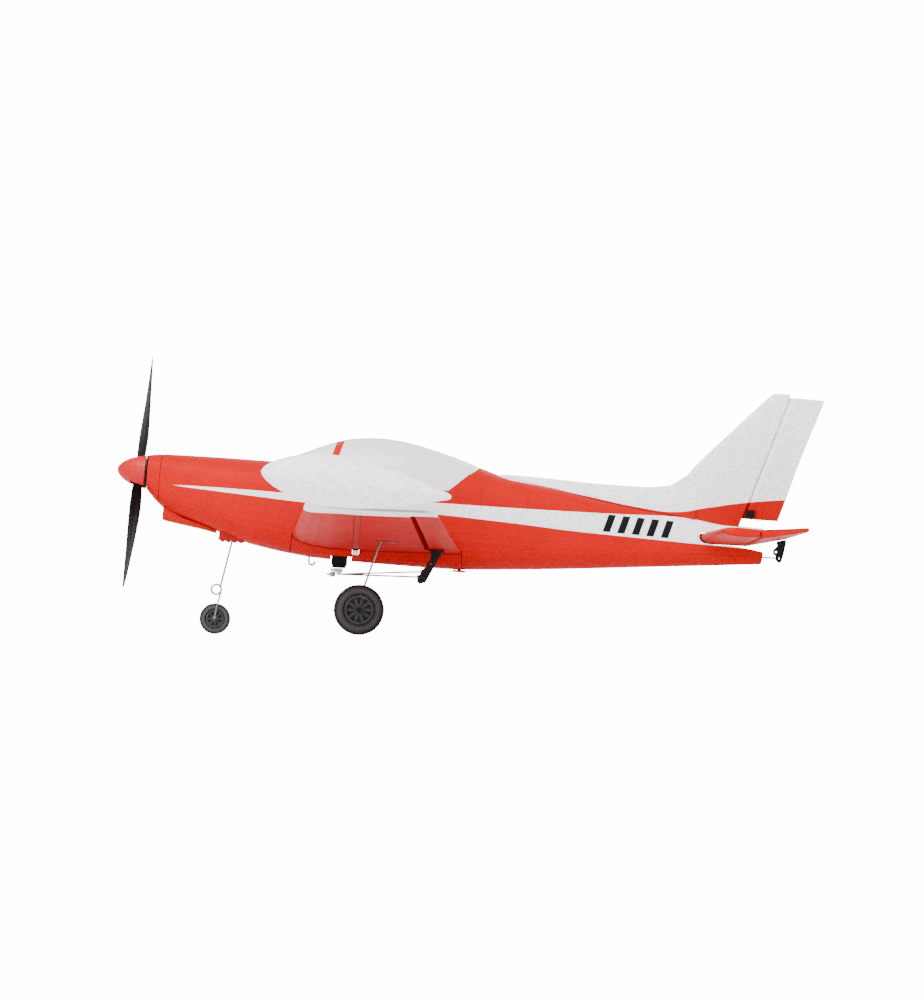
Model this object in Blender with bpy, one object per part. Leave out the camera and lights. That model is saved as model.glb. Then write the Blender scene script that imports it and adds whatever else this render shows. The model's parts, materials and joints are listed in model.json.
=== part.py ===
"""Small foam radio-controlled low-wing aeroplane, built as separate jointed pieces.

Lengths in the tables and calls are millimetres. The airframe is drawn in its own level frame
(x aft from the cowl front, y to starboard, z up from the thrust line) and every mesh is turned
and moved into the standing pose as it is made. Objects are metres, +Z up, wheels on z = 0.
"""
import math

import bmesh
import bpy
import numpy as np
from mathutils import Matrix, Vector

MM = 0.001
SIT_ANGLE = math.radians(4.5)      # nose-up angle of the airframe on its wheels
FRAME_X = -242.75                  # standing position of the cowl front
FRAME_Z = 121.0
BOLT_FRONT = 180.4                 # wing bolts along the centre line
BOLT_REAR = 238.5
UPTHRUST = math.radians(1.8)       # thrust line above the airframe's level
BLADE_TURN = math.radians(10.0)    # rest position of the propeller about its shaft
GAP = 0.3                          # clearance between touching pieces
HALF_GAP = 0.5 * GAP

# Airframe
COWL_BACK = 10.3
SHELL_FRONT = 10.6
TAIL_END = 464.5
SILL_Z = 3.0                       # top of the fuselage sides beside the cockpit
HATCH_FRONT = 97.0
HATCH_BACK = 225.0
RING = 36                          # points round a fuselage section

# Wing
ROOT_LE, ROOT_TE = 110.5, 241.5
TIP_LE, TIP_TE = 131.0, 200.5
WING_SPAN_Y = 284.0                # the panel ends inside the tip tank
TANK_Y = 292.0
TANK_R = 17.0
WING_Z = -41.0
DIHEDRAL = math.tan(math.radians(6.4))
INCIDENCE = math.tan(math.radians(1.8))
AILERON_IN, AILERON_OUT = 37.0, 196.0
AILERON_ROOT_CHORD = 27.0          # hinge to trailing edge at the wing centre line
AILERON_TIP_CHORD = 19.0           # the same at AILERON_OUT

# Body: height or half width along x
BODY_TOP = [(0.8, 13.0), (10, 14.3), (20, 14.8), (40, 15.2), (68, 15.6), (97, 15.7), (106, 19.6),
            (117, 24.5), (133, 31.8), (148, 36.8), (163, 39.0), (179, 39.4), (201, 36.3),
            (222, 31.4), (240, 26.0), (250, 22.6), (262, 19.0), (285, 15.2), (305, 12.4),
            (332, 7.8), (368, 3.0), (397, 0.0), (437, -4.9), (465, -5.2)]
BODY_BOTTOM = [(0.8, -12.8), (4.3, -16.8), (9.3, -21.8), (14.1, -25.6), (21.3, -29.3),
               (32.7, -32.8), (44, -36.0), (55, -39.7), (63.5, -42.6), (75, -46.2), (90, -49.2),
               (118, -53.0), (135, -54.2), (160, -54.6), (200, -54.8), (235, -54.5),
               (254, -53.2), (314, -48.0), (373, -41.9), (465, -32.4)]
BODY_HALF = [(0.8, 12.9), (10, 15.2), (20, 17.8), (35, 20.8), (55, 24.0), (75, 26.6), (97, 28.6),
             (120, 30.2), (150, 31.0), (185, 30.8), (215, 29.4), (250, 27.0), (305, 22.0),
             (368, 16.5), (437, 11.0), (465, 9.0)]
BODY_MID = [(0.8, 0.0), (10, -2.5), (20, -5.0), (35, -7.5), (55, -9.5), (97, -11.0), (150, -12.0),
            (215, -12.0), (260, -13.0), (305, -15.0), (368, -18.0), (465, -19.0)]
BODY_X = [0.8, 3.5, 6.5, 10.3, 14, 20, 28, 38, 50, 64, 80, 97, 106, 116, 127, 139, 151, 164, 177,
          190, 203, 216, 229, 240, 250, 262, 285, 310, 340, 370, 400, 432, 464.5]
CAVITY_WALL = [(10, 2.4), (30, 2.6), (60, 5.0), (240, 5.5), (400, 3.4), (470, 2.6)]
CAVITY_TOP = [(10, 11.8), (30, 12.0), (60, 10.6), (92, 10.4), (98, 14.0), (216, 14.0),
              (222, -4.0), (305, -4.0), (368, -3.0), (397, -5.0), (437, -9.0), (470, -9.0)]

# Tip tanks
TANK_NOSE = (95.0, TANK_Y, -4.5)
TANK_TAIL = (220.5, TANK_Y, -11.6)
TANK_PROFILE = [(0.0, 0.0), (0.008, 2.3), (0.03, 5.2), (0.07, 8.5), (0.13, 11.8), (0.2, 14.6),
                (0.28, 16.4), (0.36, 17.0), (0.43, 16.9), (0.5, 16.3), (0.58, 15.0), (0.67, 12.8),
                (0.76, 10.2), (0.85, 6.9), (0.92, 4.3), (0.97, 2.6), (0.992, 1.5), (1.0, 0.0)]

# Linkages, in the airframe frame
SHAFT_X = 148.4                    # aileron servo output shaft
AILERON_ARM = (144.2, 9.2)         # x and y of the arm tips
TAIL_SHAFT = (194.5, -15.0)        # x and z of both tail servo shafts
TAIL_ARM = 9.0
ELEV_ROD_Y = -2.4
RUD_ROD_Y = 2.4
ELEV_PIVOT = (477.3, -27.0)
RUD_PIVOT = (451.2, 15.2, 6.6)
STEER_TOP = (-174.46, 0.0, 88.0)    # standing frame, on the steering axis
STEER_FOOT = (-186.75, 0.0, 37.5)
STEER_ARM = 12.0
STEER_ROD_Z = -33.3
STEER_X = 65.4
HOOK_X = 125.6                     # tow hook under the belly

# Propeller: radius, chord, pitch angle, thickness, offset
PROP_X = -6.2
RAKE = 0.6                         # how far the tips lean forward
BLADE = ((3.0, 7.0, 52, 4.2, 0.0), (9.0, 8.2, 48, 3.6, 0.0), (16.0, 11.0, 42, 2.9, -0.4),
         (26.0, 14.0, 34, 2.3, -0.8), (38.0, 15.2, 27, 1.9, -1.0), (52.0, 14.4, 21.5, 1.6, -1.0),
         (66.0, 12.0, 17.5, 1.3, -0.7), (78.0, 9.0, 15, 1.1, -0.2), (85.0, 6.0, 14, 0.9, 0.4),
         (88.4, 3.2, 13, 0.7, 0.9), (89.4, 1.2, 13, 0.5, 1.2))


def rudder_hinge(z):
    t = (z - HINGE_LOW[1]) / (HINGE_HIGH[1] - HINGE_LOW[1])
    return HINGE_LOW[0] + (HINGE_HIGH[0] - HINGE_LOW[0]) * t


def fin_ring(z, lead, wide):
    """Fin section at one height: rounded lead, square hinge post."""
    aft = rudder_hinge(z) + 3.0
    span = aft - lead
    pairs = [(0.0, 0.0), (0.03, 0.42), (0.09, 0.68), (0.22, 0.92), (0.4, 1.0), (0.7, 0.97),
             (1.0, 0.86)]
    right = [(lead + s * span, w * wide, z) for s, w in pairs]
    left = [(lead + s * span, -w * wide, z) for s, w in pairs[1:]]
    return right + left[::-1]


def fin_hinge_waste():
    low, high = rudder_hinge(-30.0), rudder_hinge(130.0)
    return prism([(low - HALF_GAP, -30), (low + 60, -30), (high + 60, 130),
                  (high - HALF_GAP, 130)], -20, 20)


def build_rudder():
    rings = []
    for z, tail, wide in ((0.9, 474.8, 3.9), (20.0, 480.6, 3.7), (45.0, 487.6, 3.4),
                          (70.0, 495.6, 3.1), (88.0, 501.8, 2.9), (92.6, 503.4, 2.5),
                          (94.6, 503.2, 1.7)):
        lead = rudder_hinge(z) + HALF_GAP
        span = tail - lead
        pairs = [(0.0, 0.12), (0.13, 1.0), (0.4, 0.82), (0.7, 0.55), (0.97, 0.27), (1.0, 0.16)]
        right = [(lead + s * span, w * wide, z) for s, w in pairs]
        left = [(lead + s * span, -w * wide, z) for s, w in pairs]
        rings.append(right + left[::-1])
    blade = loft(rings)
    pivot = air((rudder_hinge(6.0), 0, 6.0))
    piece("rudder", blade, "white foam", pivot)
    near = rudder_hinge(7.0) + 1.8
    plate = bevelled(prism([(near - 1.6, 1.4), (near + 5.0, 1.4), (near + 5.8, 7.6),
                            (near - 0.4, 7.6)], -5.6, -4.25), 0.3, 1)
    piece("rudder_horn_plate", plate, "black plastic", pivot)
    foot = block((near + 0.6, 4.25, 2.6), (near + 9.6, 5.7, 10.6))
    arm = prism([(near + 1.2, 4.6), (near + 8.8, 4.6), (near + 6.0, 10.0), (near + 2.0, 17.0),
                 (near - 1.6, 17.0), (near - 2.4, 14.4), (near - 0.4, 10.0)], 5.8, 7.4, "z")
    piece("rudder_horn", join(foot, arm), "black plastic", pivot)


def stab_ring(y, lead, aft, thick):
    base = STAB_Z + abs(y) * STAB_DIHEDRAL
    pairs = [(0.0, 0.0), (0.03, 0.5), (0.12, 0.85), (0.35, 1.0), (0.7, 0.95), (1.0, 0.9)]
    top = [(lead + s * (aft - lead), y, base + w * thick * 0.45) for s, w in pairs]
    low = [(lead + s * (aft - lead), y, base - w * thick * 0.55) for s, w in pairs[1:]]
    return top + low[::-1]


def build_tailplane():
    rings = []
    for y in (-STAB_SPAN_Y, -STAB_SPAN_Y + 1.6, -STAB_SPAN_Y + 6.0, 0.0, STAB_SPAN_Y - 6.0,
              STAB_SPAN_Y - 1.6, STAB_SPAN_Y):
        reach = abs(y) / STAB_SPAN_Y
        trim = {True: 5.0, False: 0.0}[abs(y) > STAB_SPAN_Y - 1.0]
        lead = STAB_LEAD + 5.0 * reach + trim + (1.6 if abs(y) > STAB_SPAN_Y - 3.0 else 0.0)
        thick = STAB_THICK - 2.2 * reach - (2.6 if abs(y) > STAB_SPAN_Y - 1.0 else 0.0)
        rings.append(stab_ring(y, lead, HINGE_X - HALF_GAP, thick))
    piece("stabilizer", loft(rings), "red foam")

    rings = []
    for y in (-STAB_SPAN_Y, -STAB_SPAN_Y + 1.4, -60.0, 0.0, 60.0, STAB_SPAN_Y - 1.4,
              STAB_SPAN_Y):
        reach = abs(y) / STAB_SPAN_Y
        base = STAB_Z + abs(y) * STAB_DIHEDRAL
        thick = (STAB_THICK - 2.2 * reach) * (0.75 if abs(y) > STAB_SPAN_Y - 1.0 else 1.0)
        back = 483.0 - (1.0 if abs(y) > STAB_SPAN_Y - 1.0 else 0.0)
        up = 4.6
        ring = [(HINGE_X + HALF_GAP, y, base + 0.40 * thick),
                (back - 0.8, y, base + up + 1.9), (back, y, base + up + 1.2),
                (back, y, base + up - 0.4), (back - 0.8, y, base + up - 1.1),
                (HINGE_X + HALF_GAP + 0.42 * thick, y, base - 0.5 * thick),
                (HINGE_X + HALF_GAP, y, base + 0.25 * thick)]
        rings.append(ring)
    pivot = air((HINGE_X, 0, STAB_Z + 0.36 * STAB_THICK))
    piece("elevator", loft(rings), "red foam", pivot)
    outline = [(474.4, -13.2), (482.0, -11.8), (481.8, -16.4), (480.6, -24.4), (479.4, -29.4),
               (477.2, -30.4), (475.2, -28.6), (474.8, -25.4), (472.6, -23.6), (472.6, -20.8),
               (475.4, -18.0)]
    blade = prism(outline, ELEV_ROD_Y - 2.6, ELEV_ROD_Y - 1.2)
    hole = rod((477.3, ELEV_ROD_Y - 5, -27.0), (477.3, ELEV_ROD_Y + 5, -27.0), 0.8)
    hole_b = rod((474.8, ELEV_ROD_Y - 5, -22.4), (474.8, ELEV_ROD_Y + 5, -22.4), 0.7)
    skin = loft([[(HINGE_X + 4.2, y, STAB_Z - 4.3 - GAP), (482.2, y, STAB_Z + 4.6 - 1.1 - GAP),
                  (500.0, y, STAB_Z + 4.0), (500, y, STAB_Z + 20), (HINGE_X, y, STAB_Z + 20)]
                 for y in (-20.0, 20.0)])
    piece("elevator_horn", cut(blade, hole, hole_b, skin), "black plastic", pivot)

# Tail
HINGE_X = 448.0
FIN_STATIONS = ((-8.0, 398.0, 4.6), (8.0, 400.0, 4.5), (19.0, 398.5, 4.2), (27.0, 401.5, 4.0),
                (41.0, 412.5, 3.8), (60.0, 429.8, 3.5), (80.0, 448.4, 3.2), (92.0, 459.6, 2.9),
                (95.6, 463.4, 2.4), (97.0, 466.5, 1.6))
HINGE_LOW = (447.2, 0.0)
HINGE_HIGH = (477.4, 96.4)
STAB_Z = -15.6
STAB_LEAD = 416.0
STAB_SPAN_Y = 112.0
STAB_DIHEDRAL = math.tan(math.radians(1.4))
STAB_THICK = 8.6

# Wheels, in the standing frame
MAIN_R, MAIN_X, MAIN_Y = 18.2, -84.4, 85.0
NOSE_R, NOSE_X = 11.5, -192.0

COLOURS = {
    "red foam": ((0.62, 0.012, 0.010), 0.42, 0.0),
    "white foam": ((0.80, 0.80, 0.79), 0.45, 0.0),
    "milky plastic": ((0.74, 0.73, 0.73), 0.22, 0.0),
    "black plastic": ((0.012, 0.012, 0.013), 0.38, 0.0),
    "red plastic": ((0.60, 0.012, 0.010), 0.28, 0.0),
    "white plastic": ((0.78, 0.78, 0.76), 0.35, 0.0),
    "grey rubber": ((0.035, 0.035, 0.037), 0.75, 0.0),
    "steel wire": ((0.55, 0.55, 0.54), 0.28, 1.0),
    "aluminium": ((0.62, 0.62, 0.63), 0.32, 1.0),
    "copper": ((0.50, 0.20, 0.09), 0.35, 1.0),
    "blue wrap": ((0.03, 0.10, 0.42), 0.35, 0.0),
    "green board": ((0.02, 0.16, 0.06), 0.45, 0.0),
    "plywood": ((0.46, 0.30, 0.15), 0.60, 0.0),
    "carbon tube": ((0.02, 0.02, 0.022), 0.30, 0.0),
}


def clear_scene():
    for obj in list(bpy.data.objects):
        bpy.data.objects.remove(obj, do_unlink=True)


def material(name):
    found = bpy.data.materials.get(name)
    if found:
        return found
    colour, rough, metal = COLOURS[name]
    mat = bpy.data.materials.new(name)
    mat.use_nodes = True
    shader = mat.node_tree.nodes["Principled BSDF"]
    shader.inputs["Base Color"].default_value = (*colour, 1.0)
    shader.inputs["Roughness"].default_value = rough
    shader.inputs["Metallic"].default_value = metal
    mat.diffuse_color = (*colour, 1.0)
    return mat


def air(p):
    """Level airframe millimetres to standing metres."""
    c, s = math.cos(SIT_ANGLE), math.sin(SIT_ANGLE)
    return Vector((p[0] * c + p[2] * s + FRAME_X, p[1], -p[0] * s + p[2] * c + FRAME_Z)) * MM


def thrust(p):
    """Level airframe millimetres, tipped up by the motor's upthrust, to standing metres."""
    c, s = math.cos(UPTHRUST), math.sin(UPTHRUST)
    return air((p[0] * c + p[2] * s, p[1], -p[0] * s + p[2] * c))


def ground(p):
    """Standing millimetres to standing metres."""
    return Vector(p) * MM


def to_air(p):
    """Standing millimetres to level airframe millimetres."""
    c, s = math.cos(SIT_ANGLE), math.sin(SIT_ANGLE)
    dx, dz = p[0] - FRAME_X, p[2] - FRAME_Z
    return (dx * c - dz * s, p[1], dx * s + dz * c)


def solid(verts, faces, place=air):
    """Closed mesh datablock from points in millimetres, normals outward."""
    bm = bmesh.new()
    made = [bm.verts.new(place(v)) for v in verts]
    for face in faces:
        bm.faces.new([made[i] for i in face])
    bmesh.ops.remove_doubles(bm, verts=bm.verts, dist=1e-7)
    bmesh.ops.recalc_face_normals(bm, faces=bm.faces)
    mesh = bpy.data.meshes.new("work")
    bm.to_mesh(mesh)
    bm.free()
    return mesh


def loft(rings, place=air):
    """Skin over rings of equal point count, both ends capped."""
    n = len(rings[0])
    verts = [p for ring in rings for p in ring]
    faces = []
    for k in range(len(rings) - 1):
        for i in range(n):
            j = (i + 1) % n
            faces.append((k * n + i, k * n + j, (k + 1) * n + j, (k + 1) * n + i))
    faces.append(tuple(range(n)))
    faces.append(tuple((len(rings) - 1) * n + i for i in range(n)))
    return solid(verts, faces, place)


def basis(axis):
    axis = Vector(axis).normalized()
    side = axis.cross(Vector((0, 0, 1)) if abs(axis.z) < 0.9 else Vector((1, 0, 0))).normalized()
    return axis, side, axis.cross(side)


def lathe(profile, centre, axis, segs=24, place=air):
    """Turn (distance along axis, radius) points about an axis; radius 0 closes an end."""
    axis, u, v = basis(axis)
    centre = Vector(centre)
    verts, index = [], []
    for along, radius in profile:
        if radius <= 0.0:
            index.append([len(verts)] * segs)
            verts.append(centre + axis * along)
            continue
        index.append(list(range(len(verts), len(verts) + segs)))
        for i in range(segs):
            a = 2 * math.pi * i / segs
            verts.append(centre + axis * along + (u * math.cos(a) + v * math.sin(a)) * radius)
    closed = profile[0] == profile[-1]
    faces = []
    for k in range(len(profile) - 1):
        low, high = index[k], index[k + 1]
        for i in range(segs):
            j = (i + 1) % segs
            face = []
            for item in (low[i], low[j], high[j], high[i]):
                if item not in face:
                    face.append(item)
            faces.append(tuple(face))
    if not closed:
        for end in (index[0], index[-1]):
            if len(set(end)) > 1:
                faces.append(tuple(end))
    return solid(verts, faces, place)


def rod(a, b, radius, segs=12, place=air):
    span = Vector(b) - Vector(a)
    length = span.length
    return lathe([(0, radius), (length, radius)], a, span, segs, place)


def wire(points, radius, segs=8, place=air):
    """Round wire bent through the points."""
    pts = [Vector(p) for p in points]
    rings = []
    tangent = (pts[1] - pts[0]).normalized()
    side = basis(tangent)[1]
    for k, p in enumerate(pts):
        before = (p - pts[k - 1]).normalized() if k else (pts[1] - p).normalized()
        after = (pts[k + 1] - p).normalized() if k < len(pts) - 1 else before
        tangent = (before + after).normalized()
        side = (side - tangent * side.dot(tangent)).normalized()
        up = tangent.cross(side)
        stretch = 1.0 / max(0.6, tangent.dot(before))
        ring = []
        for i in range(segs):
            a = 2 * math.pi * i / segs
            ring.append(p + (side * math.cos(a) + up * math.sin(a)) * radius * stretch)
        rings.append(ring)
    return loft(rings, place)


def block(low, high, place=air, bevel=0.0):
    (x0, y0, z0), (x1, y1, z1) = low, high
    verts = [(x, y, z) for x in (x0, x1) for y in (y0, y1) for z in (z0, z1)]
    faces = [(0, 1, 3, 2), (4, 6, 7, 5), (0, 4, 5, 1), (2, 3, 7, 6), (0, 2, 6, 4), (1, 5, 7, 3)]
    mesh = solid(verts, faces, place)
    return bevelled(mesh, bevel) if bevel else mesh


def bevelled(mesh, width, segments=2, limit=35.0):
    bm = bmesh.new()
    bm.from_mesh(mesh)
    edges = [e for e in bm.edges if len(e.link_faces) == 2
             and e.calc_face_angle(0.0) > math.radians(limit)]
    bmesh.ops.bevel(bm, geom=edges, offset=width * MM, segments=segments, profile=0.6,
                    affect='EDGES', clamp_overlap=True)
    bm.to_mesh(mesh)
    bm.free()
    return mesh


def prism(outline, low, high, axis="y", place=air):
    """Outline of pairs pushed along an axis: 'y' takes (x, z), 'z' takes (x, y), 'x' (y, z)."""
    def put(pair, level):
        if axis == "y":
            return (pair[0], level, pair[1])
        if axis == "z":
            return (pair[0], pair[1], level)
        return (level, pair[0], pair[1])
    return loft([[put(p, low) for p in outline], [put(p, high) for p in outline]], place)


def combine(mesh, tools, operation):
    """Exact Boolean of a mesh with each tool mesh in turn; returns the cut mesh."""
    base = bpy.data.objects.new("base", mesh)
    bpy.context.scene.collection.objects.link(base)
    helpers = []
    for tool in tools:
        helper = bpy.data.objects.new("cutter", tool)
        bpy.context.scene.collection.objects.link(helper)
        helpers.append(helper)
        mod = base.modifiers.new("cut", 'BOOLEAN')
        mod.operation = operation
        mod.solver = 'EXACT'
        mod.object = helper
    bpy.context.view_layer.update()
    graph = bpy.context.evaluated_depsgraph_get()
    result = bpy.data.meshes.new_from_object(base.evaluated_get(graph))
    for obj in [base] + helpers:
        bpy.data.objects.remove(obj, do_unlink=True)
    bm = bmesh.new()
    bm.from_mesh(result)
    bmesh.ops.remove_doubles(bm, verts=bm.verts, dist=2e-6)
    bmesh.ops.dissolve_degenerate(bm, edges=bm.edges, dist=2e-6)
    bm.to_mesh(result)
    bm.free()
    return result


def cut(mesh, *tools):
    return combine(mesh, tools, 'DIFFERENCE')


def keep(mesh, *tools):
    return combine(mesh, tools, 'INTERSECT')


def join(mesh, *tools):
    return combine(mesh, tools, 'UNION')


def piece(name, mesh, mat, pivot=None, smooth=32.0):
    """Named object; the pivot (standing metres) becomes its origin."""
    obj = bpy.data.objects.new(name, mesh)
    mesh.name = name
    mesh.materials.clear()
    mesh.materials.append(material(mat))
    bpy.context.scene.collection.objects.link(obj)
    if pivot is not None:
        mesh.transform(Matrix.Translation(-Vector(pivot)))
        obj.location = pivot
    mesh.shade_smooth()
    mesh.set_sharp_from_angle(angle=math.radians(smooth))
    return obj


def mirrored(mesh):
    """The same shape on the other side of the centre plane."""
    copy = mesh.copy()
    bm = bmesh.new()
    bm.from_mesh(copy)
    for v in bm.verts:
        v.co.y = -v.co.y
    bmesh.ops.reverse_faces(bm, faces=bm.faces)
    bm.to_mesh(copy)
    bm.free()
    return copy


def curve(table, x):
    """Smooth curve through (x, value) pairs."""
    xs = [row[0] for row in table]
    ys = [row[1] for row in table]
    if x <= xs[0]:
        return ys[0]
    if x >= xs[-1]:
        return ys[-1]
    k = int(np.searchsorted(xs, x)) - 1
    k = max(0, min(k, len(xs) - 2))

    def slope(i):
        if i == 0:
            return (ys[1] - ys[0]) / (xs[1] - xs[0])
        if i == len(xs) - 1:
            return (ys[-1] - ys[-2]) / (xs[-1] - xs[-2])
        a = (ys[i] - ys[i - 1]) / (xs[i] - xs[i - 1])
        b = (ys[i + 1] - ys[i]) / (xs[i + 1] - xs[i])
        if a * b <= 0:
            return 0.0
        return 2 * a * b / (a + b)
    h = xs[k + 1] - xs[k]
    t = (x - xs[k]) / h
    return (ys[k] * (2 * t ** 3 - 3 * t ** 2 + 1) + h * slope(k) * (t ** 3 - 2 * t ** 2 + t)
            + ys[k + 1] * (3 * t ** 2 - 2 * t ** 3) + h * slope(k + 1) * (t ** 3 - t ** 2))


def superellipse(half, mid, up, down, power_up=2.2, power_down=2.6, n=RING):
    """Section points (y, z), starting at starboard and going over the top."""
    points = []
    for i in range(n):
        a = 2 * math.pi * (i + 0.5) / n
        c, s = math.cos(a), math.sin(a)
        power = power_up if s > 0 else power_down
        y = math.copysign(abs(c) ** (2 / power), c) * half
        z = math.copysign(abs(s) ** (2 / power), s) * (up if s > 0 else down)
        points.append((y, mid + z))
    return points


def body_ring(x, inset=0.0):
    mid = curve(BODY_MID, x)
    pairs = superellipse(curve(BODY_HALF, x) - inset, mid, curve(BODY_TOP, x) - inset - mid,
                         mid - curve(BODY_BOTTOM, x) - inset)
    return [(x, y, z) for y, z in pairs]


def body(first=0.8, last=TAIL_END, inset=0.0):
    stations = [first] + [x for x in BODY_X if first + 0.5 < x < last - 0.5] + [last]
    return loft([body_ring(x, inset) for x in stations])


def body_side(x, z, inset=0.0):
    """Half width of the body at a height."""
    mid = curve(BODY_MID, x)
    if z >= mid:
        share, power = (z - mid) / (curve(BODY_TOP, x) - inset - mid), 2.2
    else:
        share, power = (mid - z) / (mid - curve(BODY_BOTTOM, x) - inset), 2.6
    return (curve(BODY_HALF, x) - inset) * max(0.0, 1 - min(1.0, share) ** power) ** (1 / power)


def cavity():
    rings = []
    for x in (12.0, 20, 30, 45, 60, 78, 92, 98, 110, 130, 150, 175, 200, 216, 222, 240, 262, 285,
              310, 340, 370, 400, 432, 470.0):
        mid = curve(BODY_MID, min(x, TAIL_END))
        wall = curve(CAVITY_WALL, x)
        pairs = superellipse(curve(BODY_HALF, x) - wall, mid, curve(CAVITY_TOP, x) - mid,
                             mid - curve(BODY_BOTTOM, x) - wall, n=24)
        rings.append([(x, y, z) for y, z in pairs])
    return loft(rings)


def section_half_thickness(s, thick):
    return 5 * thick * (0.2969 * math.sqrt(s) - 0.126 * s - 0.3516 * s ** 2
                        + 0.2843 * s ** 3 - 0.1036 * s ** 4)


def wing_edges(y):
    t = abs(y) / 300.0
    return ROOT_LE + (TIP_LE - ROOT_LE) * t, ROOT_TE + (TIP_TE - ROOT_TE) * t


def wing_height(y, x, upper):
    """Surface height of the wing at a point of its plan."""
    le, te = wing_edges(y)
    chord = te - le
    s = min(1.0, max(0.0, (x - le) / chord))
    half = section_half_thickness(s, 0.135) * chord + 0.6 * s
    camber = 0.08 * s * (1 - s) * chord
    base = WING_Z + abs(y) * DIHEDRAL - (x - le) * INCIDENCE
    return base + camber + (half if upper else -half)


def wing_ring(y, grow=0.0, n=13):
    """Section points at a span station, over the top from the trailing edge and back below."""
    le, te = wing_edges(y)
    chord = te - le
    top, low = [], []
    for i in range(n + 1):
        s = 0.5 * (1 - math.cos(math.pi * i / n))
        x = le + s * chord
        spread = (s - 0.5) * 2 * grow
        top.append((x + spread, y, wing_height(y, x, True) + grow))
        low.append((x + spread, y, wing_height(y, x, False) - grow))
    if not grow:
        low[0] = top[0]
    return top[::-1] + low[1 if not grow else 0:]


def wing_loft(first, last, grow=0.0):
    stations = [first, 60.0, 130.0, 196.0, last]
    stations = [y for y in stations if first <= y <= last]
    return loft([wing_ring(y, grow) for y in sorted(set(stations))])


def saddle(grow):
    """Everything under the wing's upper surface, for both sides, wide enough for the body."""
    rings = []
    for y in (-45.0, 0.0, 45.0):
        le, te = wing_edges(y)
        ring = []
        for i in range(14):
            s = 0.5 * (1 - math.cos(math.pi * i / 13))
            x = le - grow + s * (te - le + 2 * grow)
            ring.append((x, y, wing_height(y, le + s * (te - le), True) + grow))
        ring.append((te + grow, y, -80.0))
        ring.append((le - grow, y, -80.0))
        rings.append(ring)
    return loft(rings)


def hinge_x(y):
    t = (abs(y)) / AILERON_OUT
    return wing_edges(y)[1] - (AILERON_ROOT_CHORD
                               + (AILERON_TIP_CHORD - AILERON_ROOT_CHORD) * t)


def canopy_outline(gap):
    """Side view of the space the canopy fills."""
    return [(HATCH_FRONT - gap, 70.0), (HATCH_FRONT - gap, SILL_Z - gap),
            (HATCH_BACK + gap, SILL_Z - gap), (HATCH_BACK + 50.0 + gap, SILL_Z + 46.0 - gap),
            (HATCH_BACK + 50.0 + gap, 70.0)]


def half(mesh, side):
    near, far = (-90.0, -HALF_GAP) if side < 0 else (HALF_GAP, 90.0)
    return keep(mesh, block((-60, near, -120), (560, far, 140)))


def build_fuselage():
    shell = body(SHELL_FRONT, TAIL_END)
    block_pocket = block((57.0, -8.3, -60.0), (77.5, 8.3, -38.7))
    scoop_seat = prism([(5, -60), (5, -24.5), (34, -34.0), (59, -42.2), (59, -60)], -9.3, 9.3)
    hook_hole = rod((HOOK_X, 2.0, -70), (HOOK_X, 2.0, -44), 1.1)
    rudder_slot = rod(*rudder_rod_line(214.0, 480.0), 2.4)
    motor_bore = rod((5, 0, 0), (31, 0, 0), 11.3, 28, thrust)
    top, foot = Vector(to_air(STEER_TOP)), Vector(to_air(STEER_FOOT))
    steer_hole = rod(top, foot, 2.4)
    shell = cut(shell, cavity(), prism(canopy_outline(GAP), -60, 60), saddle(GAP + 0.05),
                block_pocket, scoop_seat, hook_hole, rudder_slot, steer_hole, motor_bore, fin_root_cutter(),
                tailplane_slot(), block((428.0, ELEV_ROD_Y - 1.6, -60), (480, ELEV_ROD_Y + 1.6, -24)))
    for name, side in (("fuselage_left", -1), ("fuselage_right", 1)):
        piece(name, half(shell, side), "red foam")


def build_nose():
    ring = cut(body(0.8, COWL_BACK), rod((-5, 0, 0), (15, 0, 0), 9.6, 28, thrust),
               rod((4, 0, 0), (30, 0, 0), 10.8, 28, thrust))
    piece("nose_cowl", ring, "red foam")
    rings = []
    for x, top, low, wide in ((14.4, -23.0, -34.6, 8.2), (17.0, -24.0, -35.4, 8.8),
                              (30.0, -31.5, -37.4, 9.0), (44.0, -35.0, -39.4, 8.6),
                              (55.0, -39.0, -41.6, 7.6)):
        mid = 0.5 * (top + low)
        pairs = superellipse(wide, mid, top - mid, mid - low, 5.0, 3.2, 24)
        rings.append([(x, y, z) for y, z in pairs])
    scoop = cut(loft(rings), body(SHELL_FRONT, 80.0, -GAP),
                block((10, -6.2, -33.4), (26, 6.2, -20)))
    piece("chin_scoop", scoop, "red foam")


def build_canopy():
    space = prism(canopy_outline(0.0), -60, 60)
    bubble = keep(body(90.0, 262.0), space)
    inner = body(90.0, 262.0, 1.2)
    bubble = cut(bubble, inner)
    piece("canopy", bubble, "milky plastic")
    plate = keep(body(90.0, 262.0, 1.5),
                 prism([(HATCH_FRONT + 1.2, 7.0), (HATCH_FRONT + 1.2, SILL_Z),
                        (HATCH_BACK - 1.0, SILL_Z), (HATCH_BACK + 3.3, 7.0)], -60, 60))
    well = prism([(112, -19), (112, 19), (200, 19), (200, -19)], 5.0, 9.0, "z")
    head = prism([(213.5, 6.0), (220.5, 6.0), (223.5, 18.8), (218.5, 18.8)], -7.5, 7.5)
    frame = join(cut(plate, well), bevelled(head, 1.2))
    piece("canopy_frame", frame, "red foam")


def fin_root_cutter():
    """Clearance for the tongue of the fin in the top of the rear shells."""
    return block((408.0, -2.3, -11.4), (438.3, 2.3, 20.0))


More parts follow.
